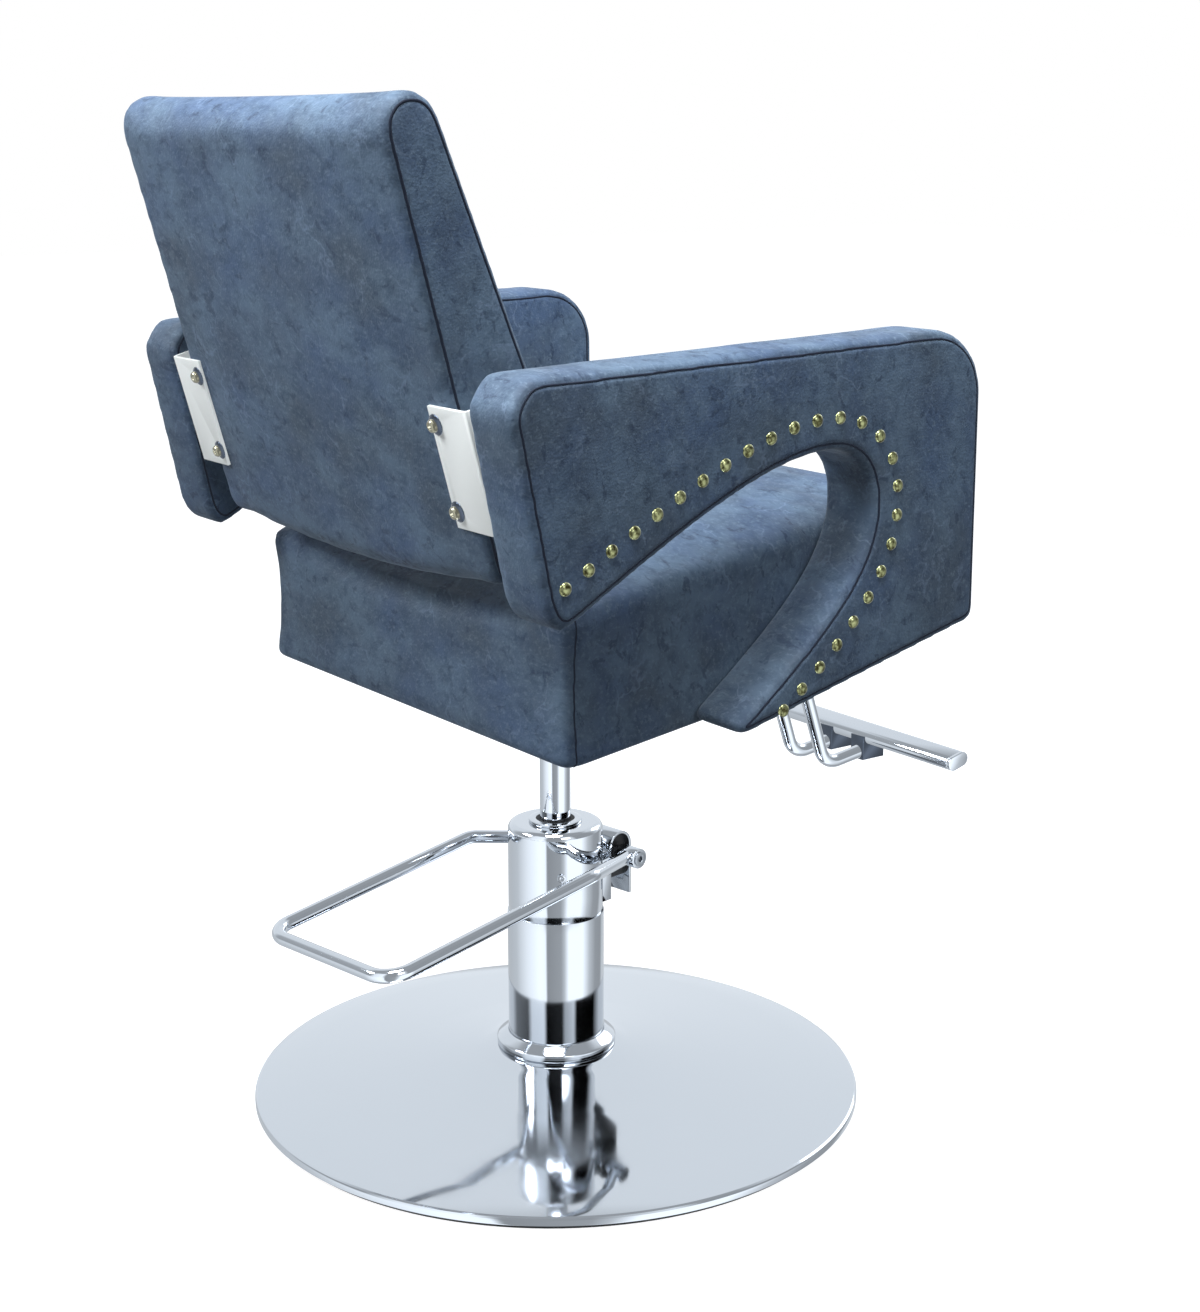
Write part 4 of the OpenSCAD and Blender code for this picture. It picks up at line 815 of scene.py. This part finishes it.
def face_border(shape, x):
    """The longest closed line round the flat face at this x."""
    def is_flat(face):
        return all(abs(v.co.x - x) < flat_to for v in face.verts)
    edges = [e for e in shape.edges if len(e.link_faces) == 2
             and is_flat(e.link_faces[0]) != is_flat(e.link_faces[1])]
    following = {}
    for edge in edges:
        for v in edge.verts:
            following.setdefault(v.index, []).append(edge.other_vert(v))
    places = {v.index: np.array(v.co) for e in edges for v in e.verts}
    longest = []
    while following:
        at = next(iter(following))
        line = []
        while at in following:
            line.append(places[at])
            ways = following.pop(at)
            onward = [v.index for v in ways if v.index in following]
            at = onward[0] if onward else None
        if len(line) > len(longest):
            longest = line
    return np.array(longest)


def calmed(points, closed, passes):
    """A line with its wobbles smoothed away. An open line keeps its ends."""
    for _ in range(passes):
        ends = points[0].copy(), points[-1].copy()
        points = (np.roll(points, 1, 0) + 2 * points + np.roll(points, -1, 0)) / 4
        if not closed:
            points[0], points[-1] = ends
    return points


def spaced(line, step, closed=True, rounding=60):
    """Points at equal steps along a line, with its corners rounded."""
    ring = np.vstack([line, line[:1]]) if closed else np.array(line)
    runs = np.concatenate([[0], np.cumsum(np.linalg.norm(np.diff(ring, axis=0), axis=1))])
    count = max(8, int(round(runs[-1] / step)))
    at = np.linspace(0, runs[-1], count, endpoint=not closed)
    points = np.stack([np.interp(at, runs, ring[:, k]) for k in range(3)], axis=1)
    return calmed(points, closed, rounding)


# %% Distances and folds
def nearest(points, line):
    """For each point, the distance to the closest point of a line and that point's number."""
    tree = KDTree(len(line))
    for k, place in enumerate(line):
        tree.insert(place, k)
    tree.balance()
    found = [tree.find(p) for p in points]
    return np.array([f[2] for f in found]), np.array([f[1] for f in found])


def rise(distance, start, width):
    """0 up to start, then a smooth rise to 1 over width."""
    t = np.clip((distance - start) / width, 0, 1)
    return t * t * (3 - 2 * t)


crisp_within = 0.9 * mm


def press_in(piece, line, depth, half_width):
    """Presses the cover in along a line, and draws the closest points onto it so the fold is crisp."""
    places = coordinates(piece.data)
    outward = normals_of(piece.data)
    low = line.min(axis=0) - half_width
    high = line.max(axis=0) + half_width
    near = np.flatnonzero(np.all((places > low) & (places < high), axis=1))
    gap, number = nearest(places[near], line)
    close = gap < half_width
    near, gap, number = near[close], gap[close], number[close]
    across = line[number] - places[near]
    across -= outward[near] * np.sum(across * outward[near], axis=1)[:, None]
    drawn = np.clip(1.6 - gap / crisp_within, 0, 1)[:, None]
    sunk = depth * (1 - (gap / half_width) ** 2) ** 2
    places[near] += across * drawn * 0.9 - outward[near] * sunk[:, None]
    piece.data.vertices.foreach_set("co", places.astype(np.float32).ravel())
    piece.data.update()


def laid_on(piece, line, lift):
    """A line laid on a cover, raised by lift."""
    places = [tuple(place) for place in coordinates(piece.data)]
    surface = BVHTree.FromPolygons(places, [tuple(face.vertices) for face in piece.data.polygons])
    laid = []
    for place in line:
        found, normal = surface.find_nearest(place)[:2]
        laid.append(np.array(found + normal * lift))
    return np.array(laid)

# %% [markdown]
# ## Where the cushions are held
# The arms lean against the seat, and steel brackets lie on the back and on the arms' inner faces.
# There the cover can't bulge at all. The wanted bulge elsewhere is a length that fades to nothing
# towards each seam, each nail and each thing that presses on it.

# %% Cover sizes and contact
net_size = 5 * mm
broad_net_size = 6 * mm   # the back and the seat are larger and have fewer folds
seam_step = 1 * mm
seam_half_width = 3.2 * mm
seam_depth = 1.1 * mm


def box_distance(points, node_name):
    """The distance from each point to a construction piece's box."""
    low, high = [np.array(corner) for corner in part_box(node_name)]
    return np.linalg.norm(np.maximum(np.maximum(low - points, points - high), 0), axis=1)


# %% Nail places
def nail_centres(node_name, side):
    """The middle of each nail on the arm's face, from the construction model."""
    shape = joined(node_name)
    centres = []
    waiting = set(shape.verts)
    while waiting:
        island = [waiting.pop()]
        for v in island:
            for edge in v.link_edges:
                other = edge.other_vert(v)
                if other in waiting:
                    waiting.discard(other)
                    island.append(other)
        middle = sum((v.co for v in island), Vector()) / len(island)
        centres.append((min(v.co.x * side for v in island) * side, middle.y, middle.z))
    shape.free()
    return np.array(sorted(centres, key=lambda c: (c[1], c[2])))


nails_left = nail_centres("arm_nails_left", 1)
nail_radius = nails_left[:, 1].min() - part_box("arm_nails_left")[0].y
print("nails on one arm:", len(nails_left), "radius", round(nail_radius / mm, 1), "mm")

# %% [markdown]
# ### Arms
# Both arms are the same, mirrored, so one is stuffed and the other is its mirror image. That
# halves the work, and it is how the maker cuts them: one pattern, turned over.

# %% One arm
arm_shape = cover_of("arm_pad_left", ["arm_board_left"])
arm_low, arm_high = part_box("arm_pad_left")
arm_rims = [spaced(face_border(arm_shape, x), seam_step) for x in (arm_low.x, arm_high.x)]
arm = piece_from(arm_shape, "arm_cover_left", leatherette)
even(arm, net_size)
places = coordinates(arm.data)
seam_gap = np.minimum(*[nearest(places, rim)[0] for rim in arm_rims])
nail_gap = nearest(places, nails_left)[0]
outward = normals_of(arm.data)
narrow = np.abs(outward[:, 0]) < 0.5
inner_face = places[:, 0] < arm_low.x + 1.5 * mm
pressed = np.minimum.reduce([box_distance(places, n) for n in ("seat_cushion", "back_bracket_left")])
arm_bulge = np.where(narrow, 1.2, 3.2) * mm
cap = arm_bulge * rise(seam_gap, 0, 34 * mm) * rise(nail_gap, nail_radius * 0.9, 12 * mm)
cap *= np.where(inner_face, rise(pressed, 1.5 * mm, 20 * mm), 1)
print("arm bulge mm:", round(stuff(arm, cap) / mm, 2))
refine(arm)
for rim in arm_rims:
    press_in(arm, rim, seam_depth, seam_half_width)
print("arm cover:", len(arm.data.polygons), "faces")


def mirrored(piece, name):
    """The mirror image of a piece in the chair's middle plane."""
    mesh = piece.data.copy()
    places = coordinates(mesh)
    places[:, 0] *= -1
    mesh.vertices.foreach_set("co", places.astype(np.float32).ravel())
    mesh.flip_normals()
    mesh.name = name
    twin = bpy.data.objects.new(name, mesh)
    scene.collection.objects.link(twin)
    return twin


arm_right = mirrored(arm, "arm_cover_right")
for cover, node_name in ((arm, "arm_pad_left"), (arm_right, "arm_pad_right")):
    belongs(cover, "seat", "leatherette", node_name)

# %% [markdown]
# ### Back
# The back is a wedge with a rolled top. Its front is the fullest cushion of the chair, and its
# rear is nearly flat, because a board lies close behind it. One bulge all round would puff it up
# like a pillow, so the front may swell by 8 mm and the rest by 3.

# %% The back
back_shape = cover_of("back_cushion", ["back_board"])
back_low, back_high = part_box("back_cushion")
back_rims = [spaced(face_border(back_shape, x), seam_step) for x in (back_low.x, back_high.x)]
back = piece_from(back_shape, "back_cover", leatherette)
even(back, broad_net_size)
places = coordinates(back.data)
outward = normals_of(back.data)
seam_gap = np.minimum(*[nearest(places, rim)[0] for rim in back_rims])
bracket_gap = np.minimum.reduce([
    box_distance(places, "back_bracket_" + side) for side in ("left", "right")])
back_bulge = np.where(outward[:, 1] < -0.3, 8.0, 3.0) * mm
cap = back_bulge * rise(seam_gap, 0, 60 * mm) * rise(bracket_gap, 1 * mm, 45 * mm)
print("back bulge mm:", round(stuff(back, cap) / mm, 2))
refine(back)
for rim in back_rims:
    press_in(back, rim, seam_depth, seam_half_width)
belongs(back, "seat", "leatherette", "back_cushion")
print("back cover:", len(back.data.polygons), "faces")

# %% [markdown]
# ### Seat
# The seat's cover is pulled over a plywood box and stapled underneath, so its sides are flat and
# its top is crowned. A seam runs up each of its four corners, a little in from the edge. The seat
# is tilted, and a net that is cut slantwise leaves steps along its lower edge, so the cover is
# laid level while its net is cut.

# %% The seat
seat_shape = cover_of("seat_cushion", ["seat_board", "seat_side_rails", "seat_end_rails"])
seat_low, seat_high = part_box("seat_cushion")
seat_skin = BVHTree.FromBMesh(seat_shape)
corner_in = 12 * mm
seat_pitch = math.radians(-8)   # the seat rises towards its front
up_or_down = 0.5   # how far a face has to point that way, where 1 is straight
sideways = 0.6
corner_lines = []
for side in (-1, 1):
    for y in (seat_low.y + corner_in, seat_high.y - corner_in):
        line = []
        for z in np.arange(seat_low.z, seat_high.z, seam_step):
            spot, normal = seat_skin.ray_cast(Vector((side, y, z)), Vector((-side, 0, 0)))[:2]
            if spot and abs(spot.x) > 0.9 * seat_high.x and abs(normal.x) > sideways:
                line.append(spot)
        corner_lines.append(np.array(line))
        print("corner seam at y", round(y, 3), "length", len(line), "mm")
seat = piece_from(seat_shape, "seat_cover", leatherette)
even(seat, broad_net_size, passes=1, pitch=seat_pitch)
places = coordinates(seat.data)
outward = normals_of(seat.data)
top = outward[:, 2] > up_or_down
under = outward[:, 2] < -up_or_down
beside = np.abs(outward[:, 0]) > sideways
seat_bulge = np.select([under, beside, top], [0.0, 0.6, 8.0], 4.0) * mm
side_gap = np.abs(np.abs(places[:, 0]) - seat_high.x)
cap = seat_bulge * np.where(beside, 1, rise(side_gap, 4 * mm, 60 * mm))
print("seat bulge mm:", round(stuff(seat, cap) / mm, 2))
refine(seat)
for line in corner_lines:
    press_in(seat, line, seam_depth, seam_half_width)
belongs(seat, "seat", "leatherette", "seat_cushion")
print("seat cover:", len(seat.data.polygons), "faces")

# %% [markdown]
# ## Stitches
# A seam shows as a thin dark fold with a row of stitches. Thousands of stitches can't be placed
# by hand, so Geometry Nodes lay them: the seam's path becomes a curve, a thin near-black cord is
# swept along it as painted shade for the fold, and a small capsule is set on it at every stitch.
# Because the sizes are inputs of the tree, one tree serves every seam.

# %% A tree that sews along a path
sewing, given = new_tree("sew_along_a_path", stitch_length=3.6 * mm, stitch_spacing=5 * mm,
                         thread_radius=0.6 * mm, fold_radius=1.3 * mm)
path = add(sewing, "GeometryNodeMeshToCurve", {0: given["Geometry"]}).outputs[0]
# The cord swept along the path is painted shade: it darkens the seam's fold.
shade_cord_profile = add(sewing, "GeometryNodeCurvePrimitiveCircle", {
    "Resolution": 6, "Radius": given["fold_radius"]})
fold = add(sewing, "GeometryNodeCurveToMesh", {"Curve": path, "Profile Curve": shade_cord_profile.outputs[0]})
spots = add(sewing, "GeometryNodeCurveToPoints", {
    "Curve": path, "Length": given["stitch_spacing"]}, mode="LENGTH")
capsule = add(sewing, "GeometryNodeMeshUVSphere", {"Segments": 6, "Rings": 5, "Radius": 0.5})
thick = add(sewing, "ShaderNodeMath", {
    0: given["thread_radius"], 1: 2.0}, operation="MULTIPLY").outputs[0]
stretch = add(sewing, "ShaderNodeCombineXYZ", {0: thick, 1: thick, 2: given["stitch_length"]})
stitches = add(sewing, "GeometryNodeInstanceOnPoints", {
    "Points": spots.outputs["Points"], "Instance": capsule.outputs[0],
    "Rotation": spots.outputs["Rotation"], "Scale": stretch.outputs[0]})
both = add(sewing, "GeometryNodeJoinGeometry", {0: fold.outputs[0]})
sewing.links.new(stitches.outputs[0], both.inputs[0])
end_tree(sewing, both.outputs[0], given)


# %% Sew the seams
sunk_in = -0.1 * mm


def sew(name, cover, lines, fold_radius, closed=True):
    """Sews a cover along each line. The cord of painted fold shade and the stitches become one piece.
    """
    points = []
    edges = []
    for line in lines:
        first = len(points)
        laid = calmed(laid_on(cover, line, sunk_in), closed, 10)
        points += laid.tolist()
        count = len(laid)
        edges += [(first + k, first + (k + 1) % count) for k in range(count if closed else count - 1)]
    seam = run_tree(name, points, edges, sewing, finish=thread_and_seam_shade, fold_radius=fold_radius)
    belongs(seam, "seat", "leatherette")
    print(name, len(seam.data.polygons), "faces")


sew("arm_seams_left", arm, arm_rims, 1.05 * mm)
sew("arm_seams_right", arm_right, [rim * (-1, 1, 1) for rim in arm_rims], 1.05 * mm)
sew("back_seams", back, back_rims, 1.3 * mm)
sew("seat_seams", seat, corner_lines, 0.8 * mm, closed=False)

# %% [markdown]
# ## Dust cloth
# Black non-woven cloth closes the underside of a seat and keeps dust out of it. It is cut a little
# smaller than the seat and held by staples all round. A flat plane would do for the cloth, but a
# thin plate has an edge that shows its thickness. Geometry Nodes set the staples along its border.

# %% The cloth under the seat
places = coordinates(seat.data)
underside = places[normals_of(seat.data)[:, 2] < -0.95]
slope, level = np.polyfit(underside[:, 1], underside[:, 2], 1)
border_in = 22 * mm
cloth_t = 0.8 * mm
cloth_gap = 0.2 * mm
low_x, low_y = underside[:, :2].min(axis=0) + border_in
high_x, high_y = underside[:, :2].max(axis=0) - border_in
corners = [(low_x, low_y), (high_x, low_y), (high_x, high_y), (low_x, high_y)]
drops = (cloth_gap, cloth_gap + cloth_t)
sheet = bpy.data.meshes.new("seat_dust_cloth")
sheet.from_pydata([(x, y, level + slope * y - drop) for drop in drops for x, y in corners], [],
                  [(0, 1, 2, 3), (7, 6, 5, 4), (0, 4, 5, 1), (1, 5, 6, 2), (2, 6, 7, 3), (3, 7, 4, 0)])
sheet.materials.append(dust_cloth)
under_cloth = bpy.data.objects.new(sheet.name, sheet)
scene.collection.objects.link(under_cloth)
belongs(under_cloth, "seat", "black_rubber")
print("dust cloth", [round(d / mm) for d in under_cloth.dimensions], "mm")

# %% Staples round its border
stapling, given = new_tree("set_staples", spacing=42 * mm, crown=11 * mm, wire=0.9 * mm)
border = add(stapling, "GeometryNodeMeshToCurve", {0: given["Geometry"]}).outputs[0]
spots = add(stapling, "GeometryNodeCurveToPoints", {
    "Curve": border, "Length": given["spacing"]}, mode="LENGTH")
shape = add(stapling, "ShaderNodeCombineXYZ", {0: given["wire"], 1: given["wire"], 2: given["crown"]})
crown = add(stapling, "GeometryNodeMeshCube", {"Size": shape.outputs[0]})
staples = add(stapling, "GeometryNodeInstanceOnPoints", {
    "Points": spots.outputs["Points"], "Instance": crown.outputs[0],
    "Rotation": spots.outputs["Rotation"]})
end_tree(stapling, staples.outputs[0], given, rounded=False)

staple_in = 5 * mm
staple_drop = 0.3 * mm
ring = []
for (x, y), (side_x, side_y) in zip(corners, ((1, 1), (-1, 1), (-1, -1), (1, -1))):
    y += side_y * staple_in
    ring.append((x + side_x * staple_in, y, level + slope * y - drops[1] - staple_drop))
round_it = [(0, 1), (1, 2), (2, 3), (3, 0)]
seat_staples = run_tree("seat_staples", ring, round_it, stapling, finish=zinc)
belongs(seat_staples, "seat", "zinc_steel")
print("staples:", len(seat_staples.data.polygons) // 6)

# %% [markdown]
# ## Nails
# An upholstery nail is a domed head with a thin rolled rim, driven until it draws the cover in.
# Each head could be placed by hand, but the construction model already has a nail at every place,
# so Geometry Nodes set the same dome on each of those.

# %% A tree that sets a nail on each point
nailing, given = new_tree("set_nails", head_radius=5.7 * mm, head_height=3.2 * mm)
dome = add(nailing, "GeometryNodeMeshUVSphere", {"Segments": 20, "Rings": 12, "Radius": 1.0})
size = add(nailing, "ShaderNodeCombineXYZ", {
    0: given["head_height"], 1: given["head_radius"], 2: given["head_radius"]})
spots = add(nailing, "GeometryNodeMeshToPoints", {"Mesh": given["Geometry"]})
heads = add(nailing, "GeometryNodeInstanceOnPoints", {
    "Points": spots.outputs[0], "Instance": dome.outputs[0], "Scale": size.outputs[0]})
end_tree(nailing, heads.outputs[0], given)

# %% Set them on both arms
for side, word in ((1, "left"), (-1, "right")):
    nails = run_tree("arm_nail_heads_" + word, (nails_left * (side, 1, 1)).tolist(), [], nailing,
                     head_radius=nail_radius, finish=brass)
    belongs(nails, "seat", "antique_brass", "arm_nails_" + word)
    print(nails.name, len(nails.data.polygons), "faces")
